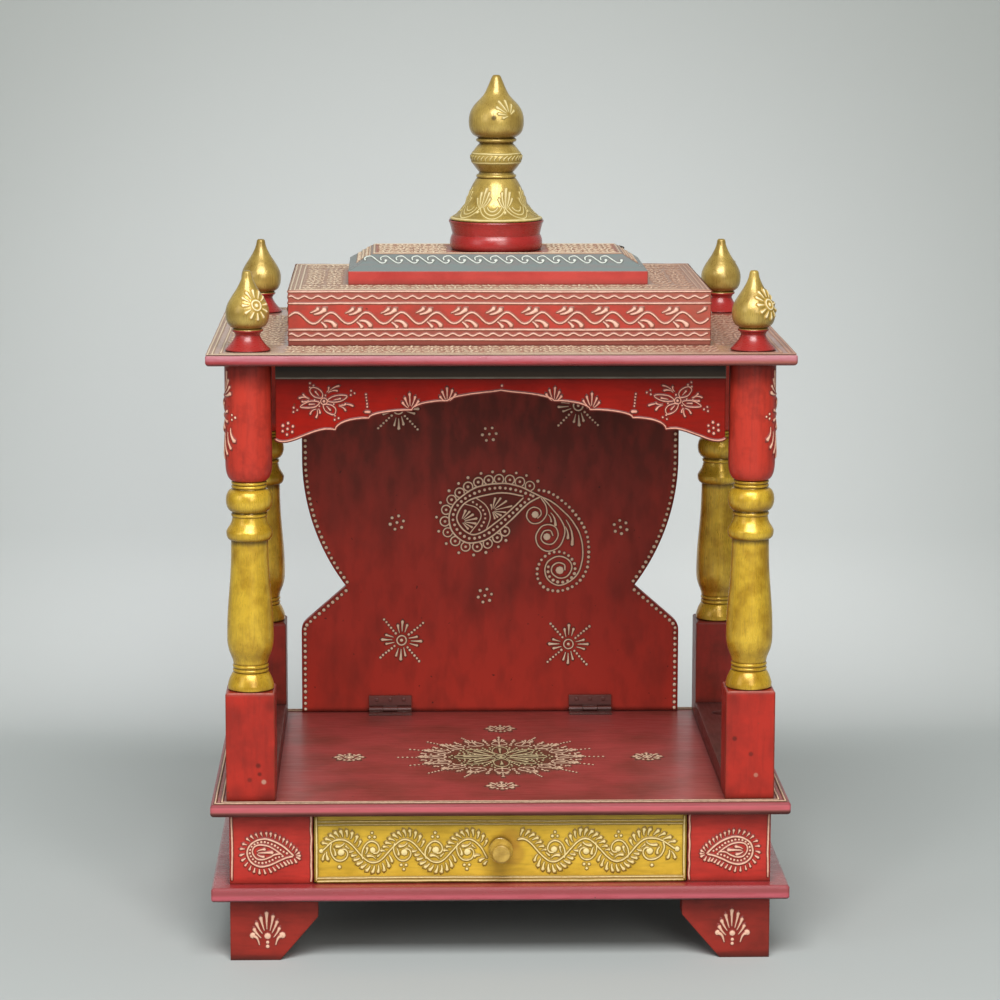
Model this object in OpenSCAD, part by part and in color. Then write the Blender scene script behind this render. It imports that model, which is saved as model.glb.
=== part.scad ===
// Wooden pooja temple: a table-top shrine of painted wood.
// A low case with one drawer carries a tray. Four turned pillars stand on square posts and hold a stepped
// roof with finials. The back panel hangs on two butt hinges and folds forward flat over the tray.
// X runs left to right, the front faces -Y, and Z is up from the floor.

/* [Boards] */
// Width of the base, tray and roof boards
board_w = 406; // [380:1:460]
// Depth of the base, tray and roof boards
board_d = 305; // [290:1:350]
// Thickness of the base board
base_board_t = 10.4; // [8:0.1:16]
// Thickness of the tray board
tray_t = 9; // [7:0.1:14]
// Thickness of the roof board
roof_t = 8; // [7:0.1:12]
// Rounding along the lower edge of each board
edge_r = 3; // [1:0.1:3.4]
// Chamfer along the upper edge of each board
edge_chamfer = 1.2; // [0.4:0.1:2.5]

/* [Feet] */
// Height of the bracket feet
foot_h = 45.2; // [30:0.1:60]
// Width of each foot under the base board
foot_w = 62; // [50:0.5:80]
// Width of each foot on the floor
foot_toe_w = 35; // [24:0.5:45]
// Upright part of the inner edge of each foot
foot_drop = 13.6; // [6:0.1:20]
// Thickness of the boards in the feet
foot_t = 18; // [12:0.5:22]

/* [Case] */
// How far case, feet and posts stand in from the edge of the boards
case_inset = 12.5; // [8:0.1:16]
// Height of the case between the base board and the tray
case_h = 50.9; // [44:0.1:70]
// Thickness of the case walls
case_t = 12; // [8:0.5:16]
// Width of the front stile on each side of the drawer
stile_w = 58.5; // [45:0.5:70]
// Thickness of the guides beside the drawer
guide_t = 9; // [6:0.5:14]

/* [Drawer] */
// Gap round the drawer front
drawer_gap = 1; // [0.5:0.1:2]
// Thickness of the drawer front
drawer_front_t = 10; // [8:0.5:14]
// Free space between the back of the drawer and the back wall of the case
drawer_back_gap = 18; // [2:0.5:60]
// Height of the drawer sides
drawer_side_h = 38; // [28:0.5:42]
// Thickness of the drawer sides and back
drawer_side_t = 7; // [6:0.5:10]
// Thickness of the drawer bottom
drawer_bottom_t = 3.2; // [2.5:0.1:5]
// Height of the drawer bottom above the lower edge of the sides
drawer_groove_z = 4; // [3:0.1:8]
// Depth of the groove that holds the drawer bottom
drawer_groove = 3; // [2:0.1:4]
// Diameter of the turned knob
knob_d = 16.6; // [12:0.1:22]
// Length of the turned knob
knob_len = 19; // [15:0.1:19]

/* [Posts and pillars] */
// Side of the square posts
post_s = 34.4; // [30:0.1:38]
// Height of the square posts
post_h = 77.5; // [60:0.5:100]
// Chamfer round the top of the posts
post_chamfer = 1.2; // [0.4:0.1:2]
// Inset of the post centres from the edge of the boards
post_inset = 28; // [25:0.1:34]
// Height of the turned pillars
pillar_h = 230.5; // [200:0.5:280]
// Height of the red drum at the top of a pillar
drum_h = 82.5; // [60:0.5:100]
// Radius of the drum
drum_r = 16.3; // [13:0.1:16.5]
// Rounding height at the foot of the drum
drum_round_h = 13; // [6:0.5:20]
// Radius of the cup and collar, the widest rings of a pillar
cup_r = 16.1; // [14:0.1:16.5]
// Height of the cup at the foot of a pillar
cup_h = 12; // [8:0.5:18]
// Radius of the pillar's belly
belly_r = 16.3; // [13.5:0.1:16.6]
// Radius of the slim upper shaft
shaft_r = 12.9; // [10:0.1:13.4]
// Radius of the necks between the rings
neck_r = 12.2; // [9:0.1:12.8]
// Height of the round bead under the drum
bead_h = 16; // [10:0.5:20]

/* [Side rails] */
// Height of the rail between the front and back posts
rail_h = 14; // [12:0.5:20]
// Diameter of the counterbores in the rails
rail_bore_d = 15; // [8:0.5:20]
// Depth of the counterbores
rail_bore_depth = 10; // [4:0.5:11]
// Distance between the two counterbores of a rail
rail_bore_spacing = 143; // [80:1:170]

/* [Back panel] */
// Thickness of the back panel
panel_t = 9; // [6:0.5:10]
// Free space between the top of the panel and the rail under the roof
panel_top_gap = 6.3; // [6:0.1:20]
// Free space between the foot of the panel and the posts on each side
panel_side_gap = 11.1; // [6:0.1:30]
// Width between the two waist notches
panel_waist_w = 223.8; // [180:0.2:230]
// Width of the upper part of the panel
panel_top_w = 291; // [236:0.2:300]
// Height of the upright sides of the panel foot
panel_shoulder_z = 69; // [40:0.5:80]
// Height of the waist notches
panel_waist_z = 99.5; // [88:0.5:110]
// Height at which the curve above the waist becomes upright
panel_curve_z = 200; // [170:0.5:206]
// Rounding of the upper corners of the panel
panel_corner_r = 56; // [20:0.5:56]
// Distance from the back edge of the tray to the back of the panel
panel_back_inset = 2; // [0.5:0.1:6]
// Gap below the panel
panel_gap = 0.5; // [0.3:0.1:1]

/* [Hinges] */
// Distance between the centres of the two hinges
hinge_spacing = 156; // [100:1:200]
// Length of each hinge
hinge_len = 33; // [24:0.5:45]
// Width of each hinge leaf
leaf_w = 7.8; // [6:0.1:18]
// Thickness of the hinge leaves
leaf_t = 1.2; // [0.8:0.1:1.6]
// Radius of the hinge knuckles
knuckle_r = 2.2; // [2:0.1:3]
// Radius of the hinge pin
pin_r = 1; // [0.8:0.05:1.3]
// Running clearance round the hinge pin
pin_clearance = 0.05; // [0.02:0.01:0.1]
// Free gap round the moving knuckle
hinge_gap = 0.4; // [0.3:0.1:0.6]

/* [Roof frame and valance] */
// Height of the dark rails under the roof board
apron_h = 11.2; // [8:0.1:13]
// Thickness of the rails under the roof board
apron_t = 12; // [8:0.5:16]
// Gap between the drums and what hangs between them
drum_gap = 2.7; // [1:0.1:6]
// Thickness of the scalloped valance
valance_t = 6; // [4:0.5:10]
// Depth of the valance at its ends
valance_end_h = 45; // [40:0.5:60]
// Depth of the valance under its middle peak
valance_peak_h = 9; // [5:0.5:14]

/* [Stepped roof] */
// Width of the lower roof box
tier_w = 295.6; // [250:0.2:320]
// Depth of the lower roof box
tier_d = 195; // [150:1:240]
// Height of the lower roof box
tier_h = 38.5; // [25:0.5:60]
// Thickness of the boards of the lower roof box
tier_t = 9; // [6:0.5:12]
// Width of the cap on the roof box
cap_w = 212.7; // [170:0.1:240]
// Depth of the cap
cap_d = 110; // [100:1:140]
// Height of the upright edge of the cap
cap_edge_h = 9.4; // [6:0.1:14]
// Height of the sloping edge of the cap
cap_slope_h = 10.8; // [6:0.1:18]
// Inset of the sloping edge of the cap
cap_slope_w = 17; // [8:0.5:20]

/* [Finials] */
// Height of the corner finials
finial_h = 55.3; // [45:0.1:70]
// Radius of the foot of a corner finial
finial_foot_r = 15.9; // [13:0.1:18]
// Radius of the bulb of a corner finial
finial_bulb_r = 15.1; // [12:0.1:18]
// Height of the red foot of the top finial
spire_foot_h = 21.5; // [16:0.5:30]
// Radius of the red foot of the top finial
spire_foot_r = 34.4; // [28:0.1:36]
// Height of the gilded spire above its foot
spire_h = 104; // [85:0.5:130]
// Radius of the ring half way up the spire
spire_ring_r = 18.5; // [15:0.1:22]
// Radius of the bulb of the spire
spire_bulb_r = 19.9; // [16:0.1:24]

/* [Hidden] */
$fn = 96;
over = 1;                       // how far a cut runs past the face it opens
arc_steps = 12;                 // straight steps in a drawn arc

// Levels, counted up from the floor.
base_z = foot_h;
case_z = base_z + base_board_t;
tray_z = case_z + case_h;
floor_z = tray_z + tray_t;      // top of the tray, the floor of the shrine
pillar_z = floor_z + post_h;
roof_z = pillar_z + pillar_h;
roof_top_z = roof_z + roof_t;
tier_top_z = roof_top_z + tier_h;
cap_top_z = tier_top_z + cap_edge_h + cap_slope_h;

// Places across and along the object.
case_w = board_w - 2 * case_inset;
case_d = board_d - 2 * case_inset;
post_x = board_w / 2 - post_inset;
post_y = board_d / 2 - post_inset;
opening_w = case_w - 2 * stile_w;
drawer_w = opening_w - 2 * drawer_gap;
drawer_len = case_d - case_t - drawer_front_t - drawer_back_gap;    // of the box behind the front
drawer_y = -case_d / 2 + drawer_front_t;    // back face of the drawer front
drawer_z = case_z + drawer_gap;
hanging_w = 2 * (post_x - drum_r - drum_gap);
panel_foot_w = 2 * (post_x - post_s / 2 - panel_side_gap);
panel_h = post_h + pillar_h - apron_h - panel_gap - panel_top_gap;
panel_front_y = board_d / 2 - panel_back_inset - panel_t;
hinge_y = panel_front_y - knuckle_r - hinge_gap;
hinge_z = floor_z + knuckle_r + hinge_gap;

// Points of an arc, and of a curve drawn by two end points and two handles.
function arc(centre, r, from, to, steps = arc_steps) =
    [for (i = [0 : steps]) let (a = from + (to - from) * i / steps) centre + r * [cos(a), sin(a)]];
function curve(a, b, c, d, steps = arc_steps) =
    [for (i = [0 : steps]) let (t = i / steps, u = 1 - t)
        u * u * u * a + 3 * u * u * t * b + 3 * u * t * t * c + t * t * t * d];
// A half-round ring on a turning, from height z, h high, standing out from radius r.
function ring(z, h, r, out, steps = 8) =
    [for (i = [0 : steps]) let (a = -90 + 180 * i / steps) [r + out * cos(a), z + h * (1 + sin(a)) / 2]];
function mirrored(points) = [for (i = [len(points) - 1 : -1 : 0]) [-points[i][0], points[i][1]]];

// A board lying flat: each edge is rounded below and chamfered above, mitred at the corners.
module edge_section(w, t) {
    translate([-w / 2 + edge_r, 0]) square([w - 2 * edge_r, t]);
    for (side = [-1, 1]) translate([side * (w / 2 - edge_r), edge_r]) circle(edge_r);
    polygon([
        [-w / 2, edge_r], [w / 2, edge_r], [w / 2, t - edge_chamfer], [w / 2 - edge_chamfer, t],
        [-w / 2 + edge_chamfer, t], [-w / 2, t - edge_chamfer]
    ]);
}

module moulded_board(w, d, t) {
    intersection() {
        rotate([90, 0, 0]) linear_extrude(d, center = true) edge_section(w, t);
        rotate([90, 0, 90]) linear_extrude(w, center = true) edge_section(d, t);
    }
}

// A block whose four upper edges slope in by inset over the height slope, above a straight part.
module sloped_block(w, d, straight, slope, inset) {
    intersection() {
        rotate([90, 0, 0]) linear_extrude(d, center = true) slope_section(w, straight, slope, inset);
        rotate([90, 0, 90]) linear_extrude(w, center = true) slope_section(d, straight, slope, inset);
    }
}

module slope_section(w, straight, slope, inset) {
    polygon([
        [-w / 2, 0], [w / 2, 0], [w / 2, straight], [w / 2 - inset, straight + slope],
        [-w / 2 + inset, straight + slope], [-w / 2, straight]
    ]);
}

module turned(profile) {
    rotate_extrude() polygon(profile);
}

module at_corner(side, end) {
    translate([side * post_x, end * post_y, 0]) children();
}

// ---- Feet and boards ----

module foot_board() {
    linear_extrude(foot_t) polygon([
        [0, 0], [foot_toe_w, 0], [foot_w, foot_h - foot_drop], [foot_w, foot_h], [0, foot_h]
    ]);
}

// A bracket foot: two shaped boards joined at the corner.
module foot(side, end) {
    color("firebrick")
        translate([side * case_w / 2, end * case_d / 2, 0])
            mirror([side > 0 ? 1 : 0, 0, 0])
                mirror([0, end > 0 ? 1 : 0, 0]) {
                    translate([0, foot_t, 0]) rotate([90, 0, 0]) foot_board();
                    rotate([90, 0, 90]) foot_board();
                }
}

module base_board() {
    color("brown") translate([0, 0, base_z]) moulded_board(board_w, board_d, base_board_t);
}

module tray_board() {
    color("brown") translate([0, 0, tray_z]) moulded_board(board_w, board_d, tray_t);
}

module roof_board() {
    color("brown") translate([0, 0, roof_z]) moulded_board(board_w, board_d, roof_t);
}

// ---- Case ----

// The side walls run from the stiles to the back wall.
module case_side_wall(side) {
    color("firebrick")
        translate([side * (case_w - case_t) / 2, 0, case_z + case_h / 2])
            cube([case_t, case_d - 2 * case_t, case_h], center = true);
}

module case_back_wall() {
    color("firebrick")
        translate([0, (case_d - case_t) / 2, case_z + case_h / 2])
            cube([case_w, case_t, case_h], center = true);
}

module stile(side) {
    color("firebrick")
        translate([side * (case_w - stile_w) / 2, -(case_d - case_t) / 2, case_z + case_h / 2])
            cube([stile_w, case_t, case_h], center = true);
}

// Two guides keep the drawer straight, one on each side.
module drawer_guides() {
    color("burlywood")
        for (side = [-1, 1])
            translate([side * (opening_w + guide_t) / 2, 0, case_z + drawer_side_h / 2])
                cube([guide_t, case_d - 2 * case_t, drawer_side_h], center = true);
}

// ---- Drawer ----

module drawer_front() {
    color("goldenrod") difference() {
        translate([-drawer_w / 2, -case_d / 2, drawer_z])
            cube([drawer_w, drawer_front_t, case_h - 2 * drawer_gap]);
        drawer_bottom_space();
    }
}

module drawer_side(side) {
    color("burlywood") difference() {
        translate([side > 0 ? drawer_w / 2 - drawer_side_t : -drawer_w / 2, drawer_y, drawer_z])
            cube([drawer_side_t, drawer_len, drawer_side_h]);
        drawer_bottom_space();
    }
}

module drawer_back() {
    color("burlywood") difference() {
        translate([-drawer_w / 2 + drawer_side_t, drawer_y + drawer_len - drawer_side_t, drawer_z])
            cube([drawer_w - 2 * drawer_side_t, drawer_side_t, drawer_side_h]);
        drawer_bottom_space();
    }
}

// The sheet that fills the groove in the sides, the back and the front.
module drawer_bottom_space() {
    inner_w = drawer_w - 2 * (drawer_side_t - drawer_groove);
    translate([-inner_w / 2, drawer_y - drawer_groove, drawer_z + drawer_groove_z])
        cube([inner_w, drawer_len - drawer_side_t + 2 * drawer_groove, drawer_bottom_t]);
}

module drawer_bottom() {
    color("tan") drawer_bottom_space();
}

// A turned knob: a waisted stem, a full round body and a flat disc in front.
module drawer_knob() {
    r = knob_d / 2;
    disc_r = 0.76 * r;
    stem_r = 0.62 * r;
    stem_len = 0.26 * knob_len;
    body_len = 0.74 * knob_len;
    color("goldenrod")
        translate([0, -case_d / 2, drawer_z + case_h / 2 - drawer_gap])
            rotate([90, 0, 0])
                turned(concat(
                    [[0, 0], [0.86 * r, 0], [0.86 * r, 0.3 * stem_len], [stem_r, 0.6 * stem_len]],
                    curve([stem_r, stem_len], [1.16 * r, 1.1 * stem_len], [1.16 * r, 0.93 * body_len],
                          [disc_r, 1.17 * body_len]),
                    curve([disc_r, knob_len - 1.2], [disc_r, knob_len - 0.3], [disc_r - 0.4, knob_len],
                          [disc_r - 1.2, knob_len], 5),
                    [[0, knob_len]]
                ));
}

// ---- Posts, rails and pillars ----

module post(side, end) {
    color("firebrick")
        at_corner(side, end)
            translate([0, 0, floor_z])
                sloped_block(post_s, post_s, post_h - post_chamfer, post_chamfer, post_chamfer);
}

// The rail joins the feet of a front and a back post, with two counterbores for its screws.
module rail(side) {
    rail_len = 2 * post_y - post_s;
    color("brown") difference() {
        translate([side * post_x, 0, floor_z + rail_h / 2]) cube([post_s, rail_len, rail_h], center = true);
        for (end = [-1, 1])
            translate([side * post_x, end * rail_bore_spacing / 2, floor_z + rail_h - rail_bore_depth])
                cylinder(h = rail_bore_depth + over, d = rail_bore_d);
    }
}

// Heights of the turned members of a pillar, from its foot up. The vase takes what is left.
foot_rings_h = 7;
collar_h = 14;
throat_h = 6;
drum_rings_h = 6;
vase_z = cup_h + foot_rings_h;
drum_z = pillar_h - drum_h;
bead_z = drum_z - drum_rings_h - bead_h;
collar_z = bead_z - throat_h - collar_h;
vase_h = collar_z - vase_z;
belly_z = vase_z + 0.21 * vase_h;

function cup_points() = concat(
    [[cup_r - 0.8, 0], [cup_r, 0.8], [cup_r, 3.5]],
    curve([cup_r - 0.2, 0.35 * cup_h], [cup_r - 1.2, 0.7 * cup_h], [neck_r + 1.2, 0.9 * cup_h],
          [neck_r + 0.4, cup_h], 8)
);
function vase_points() = concat(
    curve([neck_r, vase_z], [neck_r + 0.4, vase_z + 5], [belly_r, belly_z - 11], [belly_r, belly_z]),
    curve([belly_r, belly_z], [belly_r, belly_z + 0.3 * vase_h], [shaft_r, belly_z + 0.42 * vase_h],
          [shaft_r, collar_z - 1], 16)
);
// The collar is the cup turned over: wide below, drawn in above.
function collar_points() = concat(
    curve([shaft_r, collar_z], [cup_r - 1, collar_z + 0.02 * collar_h], [cup_r, collar_z + 0.16 * collar_h],
          [cup_r, collar_z + 0.38 * collar_h], 8),
    curve([cup_r, collar_z + 0.44 * collar_h], [cup_r - 1, collar_z + 0.62 * collar_h],
          [neck_r + 0.8, collar_z + 0.76 * collar_h], [neck_r, collar_z + collar_h], 8)
);

module pillar(side, end) {
    color("goldenrod")
        at_corner(side, end)
            translate([0, 0, pillar_z])
                turned(concat(
                    [[0, 0]],
                    cup_points(),
                    ring(cup_h + 0.6, 2.6, neck_r - 0.5, 0.9),
                    ring(cup_h + 3.6, 2.6, neck_r - 0.5, 0.9),
                    vase_points(),
                    collar_points(),
                    ring(bead_z - 3.4, 2.6, neck_r - 0.4, 0.8),
                    ring(bead_z, bead_h, neck_r - 0.6, belly_r - neck_r + 0.5, 14),
                    ring(drum_z - drum_rings_h + 0.6, 2.4, neck_r - 0.8, 0.9),
                    ring(drum_z - drum_rings_h + 3.2, 2.4, neck_r - 0.8, 0.9),
                    [[neck_r - 0.8, drum_z]],
                    curve([neck_r, drum_z], [drum_r - 1.2, drum_z + 1.5],
                          [drum_r, drum_z + 0.5 * drum_round_h], [drum_r, drum_z + drum_round_h]),
                    [[drum_r, pillar_h], [0, pillar_h]]
                ));
}

// ---- Back panel and hinges ----

// Right-hand half of the panel's outline, from the foot up to the middle of the top.
panel_curve_dx = (panel_top_w - panel_waist_w) / 2;
panel_curve_dz = panel_curve_z - panel_waist_z;
panel_curve_r = (panel_curve_dx * panel_curve_dx + panel_curve_dz * panel_curve_dz) / (2 * panel_curve_dx);
function panel_half() = concat(
    [[panel_foot_w / 2, 0]],
    curve([panel_foot_w / 2, panel_shoulder_z - 5], [panel_foot_w / 2, panel_shoulder_z - 1],
          [panel_foot_w / 2 - 1, panel_shoulder_z + 1], [panel_foot_w / 2 - 5, panel_shoulder_z + 4.5], 5),
    arc([panel_top_w / 2 - panel_curve_r, panel_curve_z], panel_curve_r,
        -asin(panel_curve_dz / panel_curve_r), 0, 20),
    arc([panel_top_w / 2 - panel_corner_r, panel_h - panel_corner_r], panel_corner_r, 0, 90)
);

module back_panel() {
    color("darkred")
        translate([0, panel_front_y + panel_t, floor_z + panel_gap])
            rotate([90, 0, 0])
                linear_extrude(panel_t) polygon(concat(panel_half(), mirrored(panel_half())));
}

// Each hinge has three knuckles: the outer two and the pin belong to the tray leaf.
knuckle_len = hinge_len / 3;
module knuckle(from, to, r = knuckle_r) {
    translate([from, hinge_y, hinge_z]) rotate([0, 90, 0]) cylinder(h = to - from, r = r);
}

module for_each_hinge() {
    for (side = [-1, 1]) translate([side * hinge_spacing / 2, 0, 0]) children();
}

module hinge_tray_leaves() {
    reach = knuckle_r + hinge_gap;
    notch_w = knuckle_len + 2 * hinge_gap;
    color("dimgray") for_each_hinge() {
        difference() {
            translate([-hinge_len / 2, hinge_y - reach - leaf_w, floor_z])
                cube([hinge_len, leaf_w + reach, leaf_t]);
            translate([-notch_w / 2, hinge_y - reach, floor_z - over])
                cube([notch_w, reach + over, leaf_t + 2 * over]);
        }
        knuckle(-hinge_len / 2, -knuckle_len / 2 - hinge_gap);
        knuckle(knuckle_len / 2 + hinge_gap, hinge_len / 2);
        knuckle(-hinge_len / 2, hinge_len / 2, pin_r);
    }
}

module hinge_panel_leaves() {
    reach = knuckle_r + hinge_gap;
    color("dimgray") for_each_hinge() difference() {
        union() {
            translate([-hinge_len / 2, panel_front_y - leaf_t, hinge_z + reach])
                cube([hinge_len, leaf_t, leaf_w]);
            translate([-knuckle_len / 2, panel_front_y - leaf_t, hinge_z])
                cube([knuckle_len, leaf_t, reach + over]);
            knuckle(-knuckle_len / 2, knuckle_len / 2);
        }
        knuckle(-knuckle_len / 2 - over, knuckle_len / 2 + over, pin_r + pin_clearance);
    }
}

// ---- Roof frame and valance ----

// A rail under the roof board from one pillar to the next.
module apron(end) {
    color("darkslategray")
        translate([0, end * post_y, roof_z - apron_h / 2])
            cube([hanging_w, apron_t, apron_h], center = true);
}

module aprons_side() {
    color("darkslategray")
        for (side = [-1, 1])
            translate([side * post_x, 0, roof_z - apron_h / 2])
                cube([apron_t, 2 * (post_y - drum_r - drum_gap), apron_h], center = true);
}

// Each scallop is a quarter ellipse: steep at its outer cusp and level at its inner one. A cusp's place is
// given as its share of the half width, and of the drop from the middle peak to the ends.
valance_cusps = [[0.736, 0.758], [0.587, 0.536], [0.396, 0.381], [0.237, 0.203]];
function scallop(outer, inner, steps = 8) =
    [for (i = [1 : steps]) let (a = 90 * i / steps)
        [inner[0] + (outer[0] - inner[0]) * cos(a), outer[1] + (inner[1] - outer[1]) * sin(a)]];
function valance_cusp(i) = [
    valance_cusps[i][0] * hanging_w / 2,
    -valance_peak_h - valance_cusps[i][1] * (valance_end_h - valance_peak_h)
];
function valance_half() = concat(
    [[hanging_w / 2, 0], [hanging_w / 2, -valance_end_h + 1.6]],
    curve([hanging_w / 2 - 2, -valance_end_h + 0.6], [hanging_w / 2 - 12, -valance_end_h - 2],
          [valance_cusp(0)[0] + 14, valance_cusp(0)[1] + 3], valance_cusp(0)),
    [for (i = [1 : 3]) each scallop(valance_cusp(i - 1), valance_cusp(i))],
    curve(valance_cusp(3), valance_cusp(3) + [-3, 4.4], [9, -valance_peak_h - 1.6], [0, -valance_peak_h], 10)
);

module valance() {
    color("firebrick")
        translate([0, -post_y, roof_z - apron_h])
            rotate([90, 0, 0])
                linear_extrude(valance_t, center = true)
                    polygon(concat(valance_half(), mirrored(valance_half())));
}

// ---- Stepped roof ----

// The lower roof box: four boards and a top, open below onto the roof board.
module roof_box() {
    color("brown") difference() {
        translate([-tier_w / 2, -tier_d / 2, roof_top_z]) cube([tier_w, tier_d, tier_h]);
        translate([-tier_w / 2 + tier_t, -tier_d / 2 + tier_t, roof_top_z - over])
            cube([tier_w - 2 * tier_t, tier_d - 2 * tier_t, tier_h - tier_t + over]);
    }
}

module roof_cap() {
    color("slategray")
        translate([0, 0, tier_top_z]) sloped_block(cap_w, cap_d, cap_edge_h, cap_slope_h, cap_slope_w);
}

// ---- Finials ----

// A corner finial: a flared red foot, a thin collar and a gilded bulb drawn up to a blunt tip.
finial_neck_r = 8.5;
finial_tip_r = 2.6;
finial_neck_z = 0.2 * finial_h;
finial_collar_z = finial_neck_z + 2;
finial_collar_h = 2.4;
finial_bulb_z = finial_collar_z + finial_collar_h + 0.4;
finial_widest_z = finial_bulb_z + 0.27 * (finial_h - finial_bulb_z);
finial_top_h = finial_h - finial_widest_z;

function finial_foot_points() = concat(
    [[0, 0], [finial_foot_r - 0.8, 0]],
    curve([finial_foot_r, 0.8], [finial_foot_r - 3.4, 0.38 * finial_neck_z],
          [finial_neck_r + 0.9, 0.66 * finial_neck_z], [finial_neck_r, finial_neck_z], 10),
    ring(finial_collar_z, finial_collar_h, finial_neck_r + 1.1, 1.2)
);
function finial_bulb_points() = concat(
    curve([finial_neck_r + 1.6, finial_bulb_z], [finial_bulb_r - 1.2, finial_bulb_z + 1.6],
          [finial_bulb_r, finial_widest_z - 5.6], [finial_bulb_r, finial_widest_z]),
    curve([finial_bulb_r, finial_widest_z], [finial_bulb_r, finial_widest_z + 0.23 * finial_top_h],
          [0.62 * finial_bulb_r, finial_widest_z + 0.43 * finial_top_h],
          [0.43 * finial_bulb_r, finial_widest_z + 0.62 * finial_top_h]),
    curve([0.43 * finial_bulb_r, finial_widest_z + 0.62 * finial_top_h],
          [0.31 * finial_bulb_r, finial_widest_z + 0.74 * finial_top_h],
          [finial_tip_r + 1, finial_widest_z + 0.82 * finial_top_h],
          [finial_tip_r + 0.6, finial_h - 1.8], 8),
    [[finial_tip_r + 0.3, finial_h - 0.8], [finial_tip_r - 0.5, finial_h - 0.1], [0, finial_h]]
);
module finial(side, end) {
    color("goldenrod")
        at_corner(side, end)
            translate([0, 0, roof_top_z])
                turned(concat(finial_foot_points(), finial_bulb_points()));
}

// The red foot of the top finial: a roll below, and a splayed rim above a sharp waist.
spire_waist_r = spire_foot_r - 2.7;
spire_waist_z = 0.53 * spire_foot_h;
module spire_foot() {
    color("firebrick")
        translate([0, 0, cap_top_z])
            turned(concat(
                [[0, 0], [spire_foot_r - 3.4, 0]],
                curve([spire_foot_r - 2.8, 0.2], [spire_foot_r - 0.4, 0.06 * spire_foot_h],
                      [spire_foot_r - 0.2, 0.36 * spire_foot_h], [spire_waist_r, spire_waist_z], 10),
                curve([spire_waist_r, spire_waist_z], [spire_waist_r + 0.6, 0.63 * spire_foot_h],
                      [spire_foot_r - 1.4, 0.86 * spire_foot_h], [spire_foot_r, spire_foot_h - 0.9], 8),
                [[spire_foot_r - 0.3, spire_foot_h], [0, spire_foot_h]]
            ));
}

// The gilded spire: a shouldered bell, a diamond-edged ring between two necks, and a bulb drawn up to a
// blunt tip.
spire_neck_r = 12.2;
spire_tip_r = 2.6;
spire_bead_h = 2.8;
bell_h = 30;
bell_flare_h = 0.51 * bell_h;
bell_flare_r = 0.615 * spire_foot_r;
ring_z = bell_h + spire_bead_h + 1.6;
ring_h = 20.6;
bulb_z = ring_z + ring_h + spire_bead_h + 1.4;
bulb_widest_z = bulb_z + 0.265 * (spire_h - bulb_z);
bulb_top_h = spire_h - bulb_widest_z;

function bell_points() = concat(
    [[0, 0], [spire_foot_r - 1.6, 0]],
    curve([spire_foot_r - 0.7, 0.8], [spire_foot_r - 6.6, 0.28 * bell_flare_h],
          [bell_flare_r + 2, 0.6 * bell_flare_h], [bell_flare_r, bell_flare_h]),
    curve([bell_flare_r, bell_flare_h], [bell_flare_r - 1.6, 1.3 * bell_flare_h],
          [bell_flare_r - 3, 0.82 * bell_h], [spire_neck_r + 2, bell_h]),
    ring(bell_h + 0.2, spire_bead_h, spire_neck_r + 0.9, 1.4, 6)
);
function spire_ring_points() = concat(
    curve([spire_neck_r, ring_z], [spire_neck_r + 1.8, ring_z + 0.08 * ring_h],
          [spire_ring_r - 1, ring_z + 0.29 * ring_h], [spire_ring_r, ring_z + 0.45 * ring_h], 8),
    curve([spire_ring_r, ring_z + 0.55 * ring_h], [spire_ring_r - 1, ring_z + 0.71 * ring_h],
          [spire_neck_r + 2, ring_z + 0.9 * ring_h], [spire_neck_r, ring_z + ring_h], 8),
    ring(bulb_z - spire_bead_h - 0.3, spire_bead_h, spire_neck_r + 1, 1.4, 6)
);
function spire_bulb_points() = concat(
    curve([spire_neck_r + 0.8, bulb_z], [spire_bulb_r - 1.8, bulb_z + 1.6],
          [spire_bulb_r, bulb_widest_z - 6.5], [spire_bulb_r, bulb_widest_z]),
    curve([spire_bulb_r, bulb_widest_z], [spire_bulb_r, bulb_widest_z + 0.3 * bulb_top_h],
          [0.66 * spire_bulb_r, bulb_widest_z + 0.42 * bulb_top_h],
          [0.5 * spire_bulb_r, bulb_widest_z + 0.54 * bulb_top_h]),
    curve([0.5 * spire_bulb_r, bulb_widest_z + 0.54 * bulb_top_h],
          [0.38 * spire_bulb_r, bulb_widest_z + 0.63 * bulb_top_h],
          [spire_tip_r + 2.9, bulb_widest_z + 0.8 * bulb_top_h], [spire_tip_r + 0.8, spire_h - 1.6], 10),
    [[spire_tip_r, spire_h - 0.4], [spire_tip_r - 0.8, spire_h], [0, spire_h]]
);
module spire() {
    color("goldenrod")
        translate([0, 0, cap_top_z + spire_foot_h])
            turned(concat(bell_points(), spire_ring_points(), spire_bulb_points()));
}

foot(-1, -1);  // foot_front_left
foot(1, -1);  // foot_front_right
foot(-1, 1);  // foot_back_left
foot(1, 1);  // foot_back_right
base_board();
case_side_wall(-1);  // case_left_wall
case_side_wall(1);  // case_right_wall
case_back_wall();
stile(-1);  // stile_left
stile(1);  // stile_right
drawer_guides();
drawer_front();
drawer_side(-1);  // drawer_left_side
drawer_side(1);  // drawer_right_side
drawer_back();
drawer_bottom();
drawer_knob();
tray_board();
rail(-1);  // rail_left
rail(1);  // rail_right
post(-1, -1);  // post_front_left
post(1, -1);  // post_front_right
post(-1, 1);  // post_back_left
post(1, 1);  // post_back_right
pillar(-1, -1);  // pillar_front_left
pillar(1, -1);  // pillar_front_right
pillar(-1, 1);  // pillar_back_left
pillar(1, 1);  // pillar_back_right
back_panel();
hinge_tray_leaves();
hinge_panel_leaves();
valance();
apron(-1);  // apron_front
apron(1);  // apron_back
aprons_side();
roof_board();
roof_box();
roof_cap();
finial(-1, -1);  // finial_front_left
finial(1, -1);  // finial_front_right
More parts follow.
